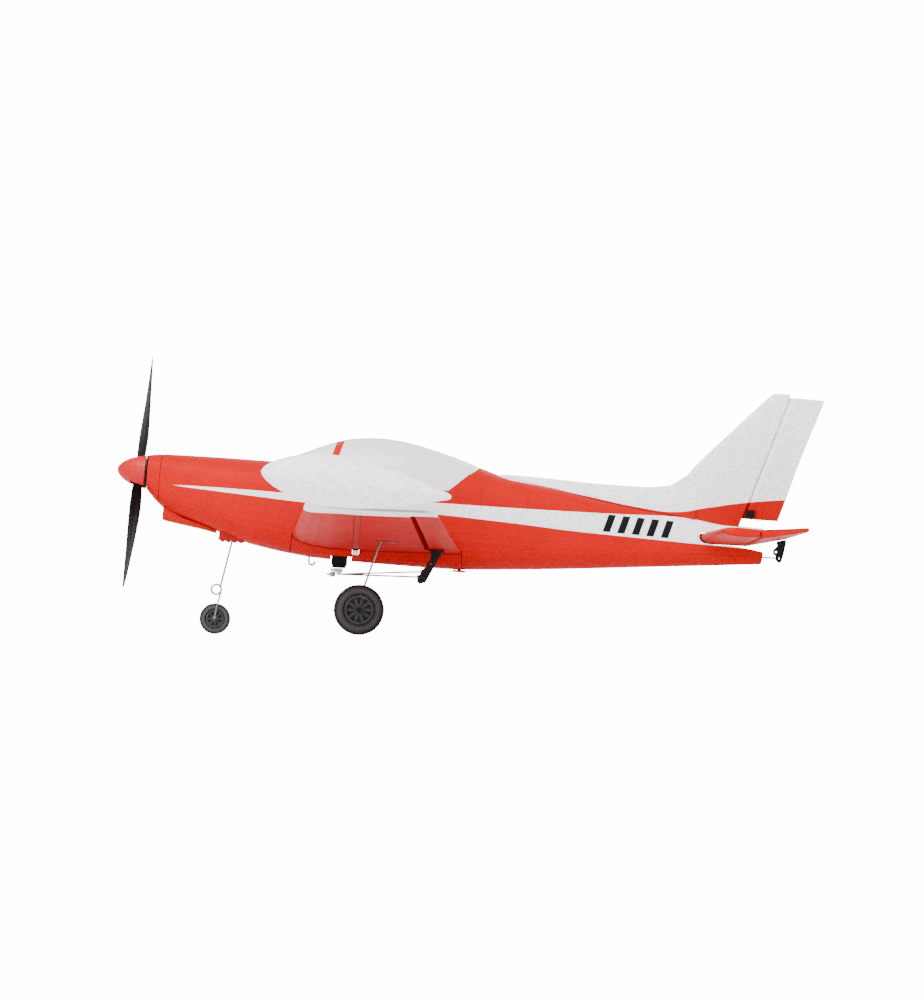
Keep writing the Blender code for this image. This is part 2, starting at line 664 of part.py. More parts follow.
def rudder_rod_line(x0, x1):
    """Two points on the straight run of the rudder pushrod."""
    a = Vector((TAIL_SHAFT[0], RUD_ROD_Y, TAIL_SHAFT[1] + TAIL_ARM))
    b = Vector((RUD_PIVOT[0], RUD_PIVOT[1] - 0.1, RUD_PIVOT[2] - 2.0))
    return [a + (b - a) * ((x - a.x) / (b.x - a.x)) for x in (x0, x1)]


def tailplane_slot():
    """Through slot for the tailplane with room behind it for the elevator to swing."""
    ring = stab_ring(0.0, STAB_LEAD - 0.55, HINGE_X, STAB_THICK)
    up, low = 0.45 * STAB_THICK + 0.75, 0.55 * STAB_THICK + GAP
    nose = [(x, z + (0.75 if z > STAB_Z else -0.45)) for x, _, z in ring[1:]]
    front = [(STAB_LEAD - 0.6, STAB_Z - 0.6), (STAB_LEAD - 0.6, STAB_Z + 0.9)]
    half_way = len(nose) // 2
    aft = [(HINGE_X - 1, STAB_Z + up), (HINGE_X + 1, STAB_Z + up + 0.4),
           (TAIL_END + 8, STAB_Z + up + 5.0), (TAIL_END + 8, STAB_Z - low - 3.6),
           (HINGE_X + 1, STAB_Z - low - 0.5), (HINGE_X - 1, STAB_Z - low - 0.2)]
    outline = front + nose[:half_way - 1] + aft + nose[half_way + 1:]
    return prism(outline, -60, 60)


def spar_shape(grow):
    rings = []
    for y in (-191.0 - grow, 0.0, 191.0 + grow):
        low = wing_height(y, 160.0, False) + 0.25 - (3.0 if grow else 0.0)
        top = wing_height(y, 160.0, False) + 3.2 + grow
        rings.append([(157.8 - grow, y, low), (162.2 + grow, y, low), (162.2 + grow, y, top),
                      (157.8 - grow, y, top)])
    return loft(rings)


def aileron_ends(y):
    x = hinge_x(y)
    return x, wing_height(y, x, True)


def build_wing():
    panel = wing_loft(HALF_GAP, WING_SPAN_Y)
    x0, _ = aileron_ends(AILERON_IN - GAP)
    x1, _ = aileron_ends(AILERON_OUT + GAP)
    bay = loft([[(x0 - HALF_GAP, AILERON_IN - GAP, -90), (x0 + 60, AILERON_IN - GAP, -90),
                 (x0 + 60, AILERON_IN - GAP, 50), (x0 - HALF_GAP, AILERON_IN - GAP, 50)],
                [(x1 - HALF_GAP, AILERON_OUT + GAP, -90), (x1 + 60, AILERON_OUT + GAP, -90),
                 (x1 + 60, AILERON_OUT + GAP, 50), (x1 - HALF_GAP, AILERON_OUT + GAP, 50)]])
    servo_well = block((141.8, -7.4, -80.0), (154.9, 18.6, -35.2))
    plate_seat = main_plate_shape(GAP)
    hole_a = rod((BOLT_FRONT, 0, -80), (BOLT_FRONT, 0, 20), 1.9)
    hole_b = rod((BOLT_REAR, 0, -80), (BOLT_REAR, 0, 20), 1.9)
    for name, side in (("wing_right", 1), ("wing_left", -1)):
        base = panel if side > 0 else mirrored(panel)
        slot = bay if side > 0 else mirrored(bay)
        seat = plate_seat if side > 0 else mirrored(plate_seat)
        tools = [slot.copy(), spar_shape(GAP), servo_well.copy(), seat.copy(), hole_a.copy(),
                 hole_b.copy()]
        piece(name, cut(base.copy(), *tools), "red foam")
    piece("wing_spar", spar_shape(0.0), "carbon tube")

    flap = keep(wing_loft(AILERON_IN, AILERON_OUT),
                loft([[(hinge_x(y) + HALF_GAP, y, -90), (hinge_x(y) + 60, y, -90),
                       (hinge_x(y) + 60, y, 50), (hinge_x(y) + HALF_GAP, y, 50)]
                      for y in (AILERON_IN - 1, AILERON_OUT + 1)]))
    groove = []
    for y in (AILERON_IN - 5, AILERON_OUT + 5):
        x, z = aileron_ends(y)
        groove.append([(x - 6, y, z + 0.15), (x + HALF_GAP, y, z + 0.15), (x + 9.6, y, z - 20),
                       (x - 6, y, z - 20)])
    flap = cut(flap, loft(groove))
    x, z = aileron_ends(AILERON_IN)
    pivot = air((x, AILERON_IN, z))
    piece("aileron_right", flap.copy(), "red foam", pivot)
    pivot = air((x, -AILERON_IN, z))
    piece("aileron_left", mirrored(flap), "red foam", pivot)
    build_aileron_horns()
    build_pan()
    build_tanks()


def build_aileron_horns():
    y = 39.5
    outline = [(215.4, -41.2), (223.6, -41.6), (222.6, -45.2), (220.0, -50.4), (217.6, -56.0),
               (213.4, -65.4), (210.6, -66.4), (208.4, -64.6), (208.2, -60.0), (210.4, -59.0),
               (210.9, -55.6), (212.9, -54.4), (213.4, -50.6), (215.2, -49.0), (215.6, -45.0)]
    x, z = aileron_ends(AILERON_IN)
    pivots = {side: air((x, side * AILERON_IN, z)) for side in (-1, 1)}
    top = wing_height(y, 221.0, False) - GAP
    shift = top + 41.4
    blade = prism([(a, b + shift) for a, b in outline], y - 0.8, y + 0.8)
    foot = prism([(213.8, top - 1.4), (225.4, top - 1.4), (225.4, top - 0.1), (213.8, top - 0.1)],
                 y - 2.3, y + 4.2)
    holes = [rod((x, y - 4, z + shift), (x, y + 4, z + shift), 0.8)
             for x, z in ((211.0, -61.8), (213.6, -56.6), (216.0, -51.6))]
    horn = cut(join(foot, blade), *holes, wing_loft(30.0, 60.0, GAP))
    piece("aileron_horn_right", horn.copy(), "black plastic", pivots[1])
    piece("aileron_horn_left", mirrored(horn), "black plastic", pivots[-1])


def build_pan():
    plan = []
    for y in (-45.0, 0.0, 45.0):
        lead, trail = wing_edges(y)
        plan.append([(lead + 0.1, y, -70), (trail - 0.1, y, -70), (trail - 0.1, y, -36),
                     (lead + 0.1, y, -36)])
    fairing = keep(body(100.0, 262.0), loft(plan))
    well = block((141.5, -12.0, -80), (157.4, 20.0, -30))
    notch = block((141.9, -60, -80), (157.4, 60, -51.4))
    hook_gap = rod((HOOK_X, 2.0, -70), (HOOK_X, 2.0, -40), 1.1)
    front_low = curve(BODY_BOTTOM, BOLT_FRONT)
    recess_a = join(rod((BOLT_FRONT, 0, -80), (BOLT_FRONT, 0, -20), 1.9),
                    rod((BOLT_FRONT, 0, -80), (BOLT_FRONT, 0, front_low + 2.6), 3.6, 20))
    recess_b = rod((BOLT_REAR, 0, -80), (BOLT_REAR, 0, -20), 1.9)
    grown = loft([wing_ring(y, GAP) for y in (-60.0, 0.0, 60.0)])
    pan = cut(fairing, grown, wing_upper_waste(), well, notch, hook_gap, recess_a, recess_b,
              spar_shape(GAP))
    piece("belly_pan", pan, "red foam")


def wing_upper_waste():
    """Space above the middle of the wing section, so only the fairing below it is left."""
    rings = []
    for y in (-60.0, 0.0, 60.0):
        ring = [(ROOT_LE - 8, y, wing_height(y, ROOT_LE, True) + 0.0)]
        for i in range(9):
            x = ROOT_LE + (ROOT_TE - ROOT_LE) * i / 8
            ring.append((x, y, 0.5 * (wing_height(y, x, True) + wing_height(y, x, False))))
        ring.append((ROOT_TE + 8, y, wing_height(y, ROOT_TE, True)))
        ring.append((ROOT_TE + 8, y, 0.0))
        ring.append((ROOT_LE - 8, y, 0.0))
        rings.append(ring)
    return loft(rings)


def build_tanks():
    axis = Vector(TANK_TAIL) - Vector(TANK_NOSE)
    length = axis.length
    shape = lathe([(t * length, r) for t, r in TANK_PROFILE], TANK_NOSE, axis, 28)
    shape = cut(shape, loft([wing_ring(y, GAP) for y in (260.0, WING_SPAN_Y + GAP)]))
    piece("tip_tank_right", shape.copy(), "white foam")
    piece("tip_tank_left", mirrored(shape), "white foam")


def build_fin():
    rings = []
    for x, top, base, half_top in ((262.5, 19.3, 4.0, 2.0), (275, 19.9, 5.5, 2.4),
                                   (300, 19.4, 6.6, 2.6), (340, 18.4, 7.2, 2.6),
                                   (376, 18.9, 7.0, 2.6), (392, 21.4, 6.6, 2.6),
                                   (404, 30.0, 6.2, 2.7), (412, 36.0, 6.0, 2.7)):
        low = curve(BODY_TOP, x) - 6.0
        mid = low + 0.45 * (top - low)
        rings.append([(x, base, low), (x, base, low + 2.0), (x, base * 0.86, mid),
                      (x, half_top * 1.2, mid + 0.6 * (top - mid)), (x, half_top * 0.7, top - 0.7),
                      (x, 0.0, top),
                      (x, -half_top * 0.7, top - 0.7), (x, -half_top * 1.2, mid + 0.6 * (top - mid)),
                      (x, -base * 0.86, mid), (x, -base, low + 2.0), (x, -base, low)])
    spine = loft(rings)
    blade = loft([fin_ring(z, lead, wide) for z, lead, wide in FIN_STATIONS])
    tongue = block((410.0, -2.0, -10.6), (436.0, 2.0, 4.0))
    blade = cut(blade, fin_hinge_waste())
    fin = cut(join(spine, blade), body(255.0, 464.5, -GAP), fin_hinge_waste())
    fin = join(fin, tongue)
    rod_gap = rod(*rudder_rod_line(280.0, 480.0), 2.0)
    piece("fin", cut(fin, rod_gap), "white foam")


def build_aileron_servo():
    lug = block((142.5, -7.0 + 0.3, -52.6), (154.3, 18.1, -50.6))
    boss = rod((SHAFT_X, 0, -57.6), (SHAFT_X, 0, -60.0), 5.2, 20)
    case = bevelled(block((142.5, -6.0, -58.0), (154.3, 17.0, -36.0)), 0.5, 1)
    piece("aileron_servo", join(case, lug, boss), "black plastic")
    tip_x, tip_y = AILERON_ARM
    hub = rod((SHAFT_X, 0, -60.3), (SHAFT_X, 0, -63.4), 3.2, 18)
    bars = []
    for side in (-1, 1):
        bars.append(prism([(SHAFT_X - 2.0, 0.0), (SHAFT_X + 2.2, 0.0),
                           (tip_x + 1.9, side * (tip_y + 1.0)), (tip_x, side * (tip_y + 2.0)),
                           (tip_x - 1.9, side * (tip_y + 0.6))][::side], -62.2, -60.7, "z"))
    posts = [rod((tip_x, side * tip_y, -61.9), (tip_x, side * tip_y, -62.9), 1.7, 14)
             for side in (-1, 1)]
    screw = rod((SHAFT_X, 0, -63.0), (SHAFT_X, 0, -64.0), 1.6, 12)
    arm = join(hub, *bars, *posts, screw)
    piece("aileron_servo_arm", arm, "white plastic", air((SHAFT_X, 0, -61.5)))
    top = wing_height(39.5, 221.0, False) - GAP
    end_z = -61.8 + top + 41.4
    for name, side in (("aileron_pushrod_right", 1), ("aileron_pushrod_left", -1)):
        start = Vector((tip_x, side * tip_y, -65.0))
        rise, back = (5.2, 2.6) if side > 0 else (0.0, 0.0)
        end = Vector((212.2 + back, side * 37.6, end_z + rise))
        along = (end - start).normalized()
        stopper = rod((tip_x, side * tip_y, -63.3), (tip_x, side * tip_y, -66.9), 1.9, 14)
        bar = wire([start - along * 4.5, end - along * 2.0, end], 0.6)
        piece(name, join(stopper, bar), "steel wire", air(start))


def build_tail_servos():
    sx, sz = TAIL_SHAFT
    for name, side in (("elevator_servo", -1), ("rudder_servo", 1)):
        near, far = 5.6, 23.4
        y0, y1 = (near, far) if side > 0 else (-far, -near)
        case = bevelled(block((sx - 6.0, y0, sz - 6.0), (sx + 17.0, y1, sz + 6.0)), 0.5, 1)
        lug_y = side * 9.5
        lug = block((sx - 10.4, min(lug_y, lug_y + side * 1.6), sz - 6.0),
                    (sx + 21.4, max(lug_y, lug_y + side * 1.6), sz + 5.9))
        boss = rod((sx, side * 5.8, sz), (sx, side * 4.6, sz), 5.2, 20)
        piece(name, join(case, lug, boss), "black plastic")
    pivot = air((sx, 0, sz))
    hub = rod((sx, -4.3, sz), (sx, -3.1, sz), 3.4, 18)
    bar = prism([(sx - 2.4, sz), (sx + 2.4, sz), (sx + 1.7, sz - TAIL_ARM - 1.2),
                 (sx, sz - TAIL_ARM - 2.0), (sx - 1.7, sz - TAIL_ARM - 1.2)], -4.25, -3.15)
    hole = rod((sx, -6, sz - TAIL_ARM), (sx, -2, sz - TAIL_ARM), 1.0)
    piece("elevator_servo_arm", cut(join(hub, bar), hole), "white plastic", pivot)
    hub = rod((sx, 4.3, sz), (sx, 3.1, sz), 3.4, 18)
    bar = prism([(sx - 1.7, sz + TAIL_ARM + 1.2), (sx, sz + TAIL_ARM + 2.0),
                 (sx + 1.7, sz + TAIL_ARM + 1.2), (sx + 2.4, sz), (sx + 1.7, sz - TAIL_ARM - 1.2),
                 (sx, sz - TAIL_ARM - 2.0), (sx - 1.7, sz - TAIL_ARM - 1.2), (sx - 2.4, sz)],
                3.15, 4.25)
    holes = [rod((sx, 2, sz + s * TAIL_ARM), (sx, 6, sz + s * TAIL_ARM), 1.0) for s in (-1, 1)]
    piece("rudder_servo_arm", cut(join(hub, bar), *holes), "white plastic", pivot)

    low = sz - TAIL_ARM
    bar = wire([(sx, ELEV_ROD_Y, low), (sx + 4, ELEV_ROD_Y, low - 0.05),
                (ELEV_PIVOT[0] - 2, ELEV_ROD_Y, ELEV_PIVOT[1]),
                (ELEV_PIVOT[0] + 0.6, ELEV_ROD_Y, ELEV_PIVOT[1])], 0.6)
    pin = rod((sx, ELEV_ROD_Y + 0.3, low), (sx, -5.2, low), 0.6)
    piece("elevator_pushrod", join(bar, pin), "steel wire", air((sx, -3.7, low)))
    high = sz + TAIL_ARM
    bar = wire([(sx, RUD_ROD_Y, high), (sx + 4, RUD_ROD_Y + 0.1, high),
                (RUD_PIVOT[0] - 6, RUD_PIVOT[1] - 0.2, RUD_PIVOT[2] - 2.0),
                (RUD_PIVOT[0] + 0.4, RUD_PIVOT[1], RUD_PIVOT[2] - 2.0)], 0.6)
    pin = rod((sx, RUD_ROD_Y - 0.3, high), (sx, 5.2, high), 0.6)
    piece("rudder_pushrod", join(bar, pin), "steel wire", air((sx, 3.7, high)))
    bar = wire([(sx, RUD_ROD_Y, low), (sx - 4, RUD_ROD_Y + 0.1, low),
                (STEER_X + 4, STEER_ARM - 0.6, STEER_ROD_Z), (STEER_X - 0.4, STEER_ARM, STEER_ROD_Z)],
               0.6)
    pin = rod((sx, RUD_ROD_Y - 0.3, low), (sx, 5.2, low), 0.6)
    piece("steering_pushrod", join(bar, pin), "steel wire", air((sx, 3.7, low)))


def build_nose_gear():
    top, foot = Vector(STEER_TOP), Vector(STEER_FOOT)
    line = (foot - top).normalized()
    high = to_air(top)
    axle = Vector((NOSE_X, 0.0, NOSE_R))
    loop_c = Vector((-190.9, 0.0, 33.4))
    loop = []
    for k in range(19):
        a = math.radians(40 - 400 * k / 18)
        loop.append(loop_c + Vector((3.7 * math.cos(a), -1.9 * k / 18, 3.7 * math.sin(a))))
    path = [top, foot + Vector((-0.2, 0, 2.0))] + loop
    path += [Vector((-188.6, -3.6, 27.0)), Vector((-190.2, -6.4, 21.5)),
             Vector((NOSE_X + 0.3, -7.6, NOSE_R + 2.2)), Vector((NOSE_X, -7.0, NOSE_R + 0.3)),
             Vector((NOSE_X, -5.2, NOSE_R)), Vector((NOSE_X, 5.6, NOSE_R))]
    pivot = ground(foot)
    collar = rod(axle + Vector((0, 3.5, 0)), axle + Vector((0, 5.0, 0)), 1.9, 16, ground)
    leg = join(wire(path, 0.75, 8, ground), collar)

    base = Vector(top) + line * 2.0
    boss = rod(base, base + line * 4.0, 3.0, 16, ground)
    mid = to_air(base + line * 2.0)
    bar = prism([(mid[0] - 2.4, 0.0), (mid[0] + 2.4, 0.0), (mid[0] + 1.8, STEER_ARM + 1.0),
                 (mid[0], STEER_ARM + 2.0), (mid[0] - 1.8, STEER_ARM + 1.0)],
                mid[2] + 0.2, mid[2] + 1.8, "z")
    piece("nose_leg", join(leg, boss, bar), "steel wire", pivot)

    housing = block((57.4, -8.0, -46.6), (77.2, 8.0, -39.0))
    housing = bevelled(housing, 0.8, 1)
    ribs = [rod((x, -7.0, -46.0), (x, 7.0, -46.0), 1.6, 14) for x in (60.0, 64.6, 69.2, 73.8)]
    bore = rod(top - line * 4, foot + line * 4, 1.1, 16, ground)
    piece("nose_gear_block", cut(join(housing, *ribs), bore), "red plastic")
    build_wheel("nose", axle, NOSE_R, 5.6, 8)


def build_wheel(prefix, axle, radius, wide, spokes):
    """Tyre ring and spoked hub about a lateral axle."""
    h = 0.5 * wide
    rim = 0.6 * radius
    tyre = [(-h * 0.78, rim), (-h, rim + 0.5), (-h, rim + 0.45 * (radius - rim)),
            (-h * 0.86, radius * 0.93), (-h * 0.5, radius * 0.985), (0.0, radius),
            (h * 0.5, radius * 0.985), (h * 0.86, radius * 0.93),
            (h, rim + 0.45 * (radius - rim)), (h, rim + 0.5), (h * 0.78, rim),
            (0.8, rim), (0.8, rim + 1.15), (-0.8, rim + 1.15), (-0.8, rim)]
    tyre.append(tyre[0])
    name = prefix if prefix == "nose" else "main"
    suffix = "" if prefix == "nose" else "_" + prefix
    pivot = ground(axle)
    piece(name + "_tyre" + suffix, lathe(tyre, axle, (0, 1, 0), 36, ground), "grey rubber", pivot)
    lip = rim - GAP
    ring = [(-h * 0.8, lip), (-h * 0.8, lip * 0.84), (-h * 0.3, lip * 0.8), (h * 0.3, lip * 0.8),
            (h * 0.8, lip * 0.84), (h * 0.8, lip), (0.45, lip), (0.45, rim + 0.8),
            (-0.45, rim + 0.8), (-0.45, lip)]
    ring.append(ring[0])
    outer = lathe(ring, axle, (0, 1, 0), 32, ground)
    core = lathe([(-h * 0.95, 2.4), (h * 0.95, 2.4)], axle, (0, 1, 0), 20, ground)
    bars = []
    for k in range(spokes // 2):
        a = 2 * math.pi * k / spokes
        along = Vector((math.cos(a), 0, math.sin(a)))
        side = Vector((-math.sin(a), 0, math.cos(a)))
        ring_a, reach = [], lip * 0.86
        for end in (-1, 1):
            for sy, ss in ((-1, -1), (-1, 1), (1, 1), (1, -1)):
                ring_a.append(Vector(axle) + along * reach * end + Vector((0, sy * h * 0.45, 0))
                              + side * ss * 0.055 * radius)
        bars.append(loft([ring_a[:4], ring_a[4:]], ground))
    bore = lathe([(-h * 2, 1.05), (h * 2, 1.05)], axle, (0, 1, 0), 16, ground)
    web = lathe([(-h * 0.13, lip * 0.9), (h * 0.13, lip * 0.9)], axle, (0, 1, 0), 30, ground)
    hub = cut(join(outer, core, web, *bars), bore)
    piece(name + "_hub" + suffix, hub, "black plastic", pivot)


def main_plate_shape(grow):
    y = 71.0
    rings = []
    for yy in (y - 4.6 - grow, y + 4.6 + grow):
        low = 0.3 if grow == 0.0 else 12.0
        ring = [(x, yy, wing_height(yy, x, False) + top)
                for x, top in ((174.6 - grow, -low), (190.6 + grow, -low),
                               (190.6 + grow, 2.0 + grow), (174.6 - grow, 2.0 + grow))]
        rings.append(ring)
    return loft(rings)


def build_main_gear():
    axle = Vector((MAIN_X, MAIN_Y, MAIN_R))
    seat = wing_height(71.0, 177.0, False)
    top = Vector(air((177.0, 71.0, seat + 0.6))) / MM
    grip = Vector(air((188.0, 71.0, seat + 0.4))) / MM
    path = [grip, top + Vector((1.6, 0, 0)), top + Vector((0.3, 0.3, -1.2)),
            Vector((-80.2, 76.2, 36.0)), Vector((MAIN_X + 0.6, 78.4, MAIN_R + 3.2)),
            Vector((MAIN_X, 78.9, MAIN_R + 0.6)), Vector((MAIN_X, 80.2, MAIN_R)),
            Vector((MAIN_X, 92.2, MAIN_R))]
    leg = wire(path, 0.75, 8, ground)
    groove = wire([grip + Vector((0.6, 0, 0)), top + Vector((1.6, 0, 0)),
                   top + Vector((0.3, 0.3, -1.2)), Vector((-80.2, 76.2, 36.0))], 1.05, 8, ground)
    open_low = loft([[(x0, y, z) for x0, z in ((175.0, seat - 20), (178.6, seat - 20),
                                               (178.6, seat + 0.4), (175.0, seat + 0.4))]
                     for y in (70.0, 72.4)])
    plate = cut(main_plate_shape(0.0), groove, open_low)
    collar = rod(axle + Vector((0, 5.0, 0)), axle + Vector((0, 6.6, 0)), 2.0, 16, ground)
    leg = join(leg, collar)
    for name, side in (("right", 1), ("left", -1)):
        def put(mesh):
            return mesh.copy() if side > 0 else mirrored(mesh)
        piece("main_leg_" + name, put(leg), "steel wire")
        piece("main_plate_" + name, put(plate), "red plastic")
        build_wheel(name, Vector((MAIN_X, side * MAIN_Y, MAIN_R)), MAIN_R, 8.0, 10)


def blade_ring(r, chord, twist, thick, sweep):
    """Propeller section at a radius, for the blade that points up."""
    ring = []
    c, s = math.cos(twist), math.sin(twist)
    for a, b in ((-0.5, 0.0), (-0.42, 0.34), (-0.2, 0.5), (0.15, 0.46), (0.42, 0.2), (0.5, 0.0),
                 (0.42, -0.12), (0.0, -0.2), (-0.4, -0.16)):
        across, through = a * chord + sweep, b * thick
        ring.append((PROP_X - RAKE * (r / BLADE[-1][0]) ** 2 - across * s - through * c,
                     across * c - through * s, r))
    return ring


def turned(p):
    """The propeller's own frame, turned about its shaft to the rest position."""
    c, s = math.cos(BLADE_TURN), math.sin(BLADE_TURN)
    return thrust((p[0], p[1] * c + p[2] * s, -p[1] * s + p[2] * c))


def build_propeller(pivot):
    up = [blade_ring(r, c, math.radians(t), k, w) for r, c, t, k, w in BLADE]
    down = [[(x, -y, -z) for x, y, z in ring] for ring in up]
    hub = lathe([(-3.6, 5.6), (-3.0, 6.2), (3.2, 6.2), (3.8, 5.6)], (PROP_X, 0, 0), (1, 0, 0),
                24, turned)
    bore = rod((PROP_X - 20, 0, 0), (PROP_X + 20, 0, 0), 2.8, 18, turned)
    blades = [loft(up, turned), loft(down, turned)]
    piece("propeller", cut(join(hub, *blades), bore), "black plastic", pivot)

    profile = [(-22.4, 0.0), (-22.2, 1.6), (-21.4, 3.2), (-19.6, 5.2), (-16.4, 7.7), (-12.0, 10.0),
               (-7.5, 11.6), (-3.6, 12.4), (-1.3, 12.6), (-1.3, 11.2), (-4.0, 11.0), (-8.0, 10.1),
               (-12.0, 8.5), (-16.0, 6.1), (-18.6, 3.4), (-19.2, 0.0)]
    shell = lathe(profile, (0, 0, 0), (1, 0, 0), 36, turned)
    slots = [block((-11.6, -5.2, 6.8), (-0.2, 5.2, 20), turned),
             block((-11.6, -5.2, -20), (-0.2, 5.2, -6.8), turned)]
    piece("spinner", cut(shell, *slots), "red plastic", pivot)
    plate = lathe([(-1.0, 2.8), (-1.0, 12.5), (0.0, 12.5), (0.0, 2.8), (-1.0, 2.8)], (0, 0, 0),
                  (1, 0, 0), 36, thrust)
    piece("spinner_backplate", plate, "black plastic", pivot)


def build_power():
    pivot = air((0, 0, 0))
    build_propeller(pivot)
    shaft = lathe([(-16.0, 0.0), (-15.6, 1.9), (-14.0, 2.5), (9.4, 2.5), (9.4, 1.5), (25.4, 1.5),
                   (25.4, 0.0)], (0, 0, 0), (1, 0, 0), 18, thrust)
    nut = lathe([(-13.9, 4.4), (-10.4, 4.4)], (0, 0, 0), (1, 0, 0), 6, thrust)
    piece("prop_shaft", join(shaft, nut), "aluminium", pivot)
    bell = lathe([(11.0, 1.8), (11.0, 9.0), (12.2, 10.2), (24.0, 10.2), (24.0, 9.2), (13.2, 9.2),
                  (13.2, 1.8), (11.0, 1.8)], (0, 0, 0), (1, 0, 0), 28, thrust)
    piece("motor_bell", bell, "aluminium", pivot)
    stator = lathe([(14.2, 8.6), (22.0, 8.6), (22.0, 3.4), (26.0, 3.4), (26.0, 1.9), (14.2, 1.9),
                    (14.2, 8.6)], (0, 0, 0), (1, 0, 0), 24, thrust)
    piece("motor_stator", stator, "copper")
    mount = keep(body(20.0, 40.0, 3.4), block((27.0, -60, -60), (29.2, 60, 60)))
    piece("motor_mount", mount, "plywood")
    piece("esc", bevelled(block((36.0, -9.0, -12.0), (66.0, 9.0, -5.0)), 1.0), "blue wrap")
    piece("battery", bevelled(block((80.0, -15.0, -26.5), (136.0, 15.0, -9.4)), 1.6),
          "blue wrap")
    piece("receiver", bevelled(block((152.0, -14.0, -26.9), (180.0, 0.8, -16.6)), 0.8, 1),
          "green board")
    tray = prism([(80.0, -17.0), (80.0, 17.0), (226.0, 17.0), (226.0, -17.0)], -28.7, -27.3, "z")
    arm_slot = block((182.0, -5.2, -31), (212.0, 5.2, -27))
    rod_slot = prism([(92.0, 6.8), (92.0, 13.0), (196.0, 5.2), (196.0, -0.6)], -31, -26, "z")
    piece("equipment_tray", cut(tray, arm_slot, rod_slot), "plywood")


def build_small():
    hook = [(HOOK_X, 2.0, -50.6), (HOOK_X, 2.0, -56.4)]
    for k in range(7):
        a = math.radians(180 + 32 * k)
        hook.append((HOOK_X + 2.3 + 2.3 * math.cos(a), 2.0, -57.0 + 2.3 * math.sin(a)))
    piece("tow_hook", wire(hook, 0.7), "steel wire")
    for name, x, sunk, head in (("wing_bolt_front", BOLT_FRONT, 2.6, 3.1),
                                ("wing_bolt_rear", BOLT_REAR, 0.0, 5.2)):
        low = curve(BODY_BOTTOM, x) + sunk
        bolt = lathe([(-1.9, 0.0), (-1.9, head - 0.9), (-1.2, head), (-0.35, head), (-0.35, 1.5),
                      (20.0, 1.5), (20.0, 0.0)], (x, 0, low), (0, 0, 1), 20)
        piece(name, bolt, "red plastic")


def main():
    clear_scene()
    build_fuselage()
    build_nose()
    build_canopy()
    build_wing()
    build_fin()
    build_rudder()
    build_tailplane()
    build_aileron_servo()
    build_tail_servos()
    build_nose_gear()
    build_main_gear()
    build_power()
    build_small()


main()
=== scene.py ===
"""Looks of the small foam low-wing model aeroplane: paint, foam grain, plastics, wire and light."""

import json
import math

import bpy
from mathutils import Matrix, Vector


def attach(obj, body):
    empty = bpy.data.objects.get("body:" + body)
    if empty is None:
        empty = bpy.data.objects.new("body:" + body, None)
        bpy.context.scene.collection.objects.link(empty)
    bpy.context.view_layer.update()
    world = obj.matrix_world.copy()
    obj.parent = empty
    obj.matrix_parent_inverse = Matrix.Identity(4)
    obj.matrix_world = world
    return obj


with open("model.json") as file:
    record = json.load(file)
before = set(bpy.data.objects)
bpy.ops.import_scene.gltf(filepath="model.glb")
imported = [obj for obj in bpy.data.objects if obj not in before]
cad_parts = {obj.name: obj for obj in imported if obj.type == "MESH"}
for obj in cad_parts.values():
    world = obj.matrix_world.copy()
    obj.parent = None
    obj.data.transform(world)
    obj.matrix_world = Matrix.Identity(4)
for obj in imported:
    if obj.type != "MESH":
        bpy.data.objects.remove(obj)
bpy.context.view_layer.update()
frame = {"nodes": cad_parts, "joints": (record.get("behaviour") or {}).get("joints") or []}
NODES = frame["nodes"]

PER_METRE = 1000.0                 # millimetres in a metre

# The airframe's own level axes: x aft from the cowl front, z up from the thrust line, millimetres.
# The model sits at an angle to them, turned about the point where its propeller turns.
SIT_ANGLE = math.radians(4.5)
PROP_SPIN = next(joint for joint in frame["joints"] if joint["name"] == "prop_spin")
COWL_X, COWL_Y, COWL_Z = PROP_SPIN["pos_m"]                  # metres, in the standing model

# Colours, scene linear
RED = (0.400, 0.0004, 0.0003)
RED_SHADE = (0.340, 0.0003, 0.0002)
RED_BEAD = (0.470, 0.0030, 0.0020)
WHITE = (0.93, 0.925, 0.92)
WHITE_SHADE = (0.86, 0.855, 0.85)
WHITE_BEAD = (0.99, 0.985, 0.98)
WHITE_GRIT = (0.52, 0.505, 0.51)
WHITE_SEAM = (0.62, 0.60, 0.61)
MILKY = (0.72, 0.685, 0.685)
MILKY_SHADE = (0.66, 0.63, 0.63)
BAR_BLACK = (0.005, 0.005, 0.006)
GROOVE_SHADE_RED = (0.10, 0.001, 0.001)
UNDERSIDE_DARK_LINE = (0.20, 0.09, 0.09)
COLLAR_BLACK = (0.012, 0.012, 0.012)
HUB_SPOKE = (0.022, 0.022, 0.023)
HUB_SPOKE_PALE = (0.034, 0.034, 0.036)
HUB_WEB_SHADE = (0.0030, 0.0030, 0.0032)
TREAD = (0.0080, 0.0066, 0.0066)
TREAD_DUST = (0.0150, 0.0130, 0.0130)
SIDEWALL = (0.046, 0.044, 0.044)
PLY_DARK = (0.11, 0.06, 0.025)
PLY_PALE = (0.20, 0.13, 0.06)

# Texture scales are features per metre
BEAD = 420.0
BEAD_EDGE = 0.12                   # crease width, as a share of a bead
BEAD_RELIEF = 0.00025              # metres

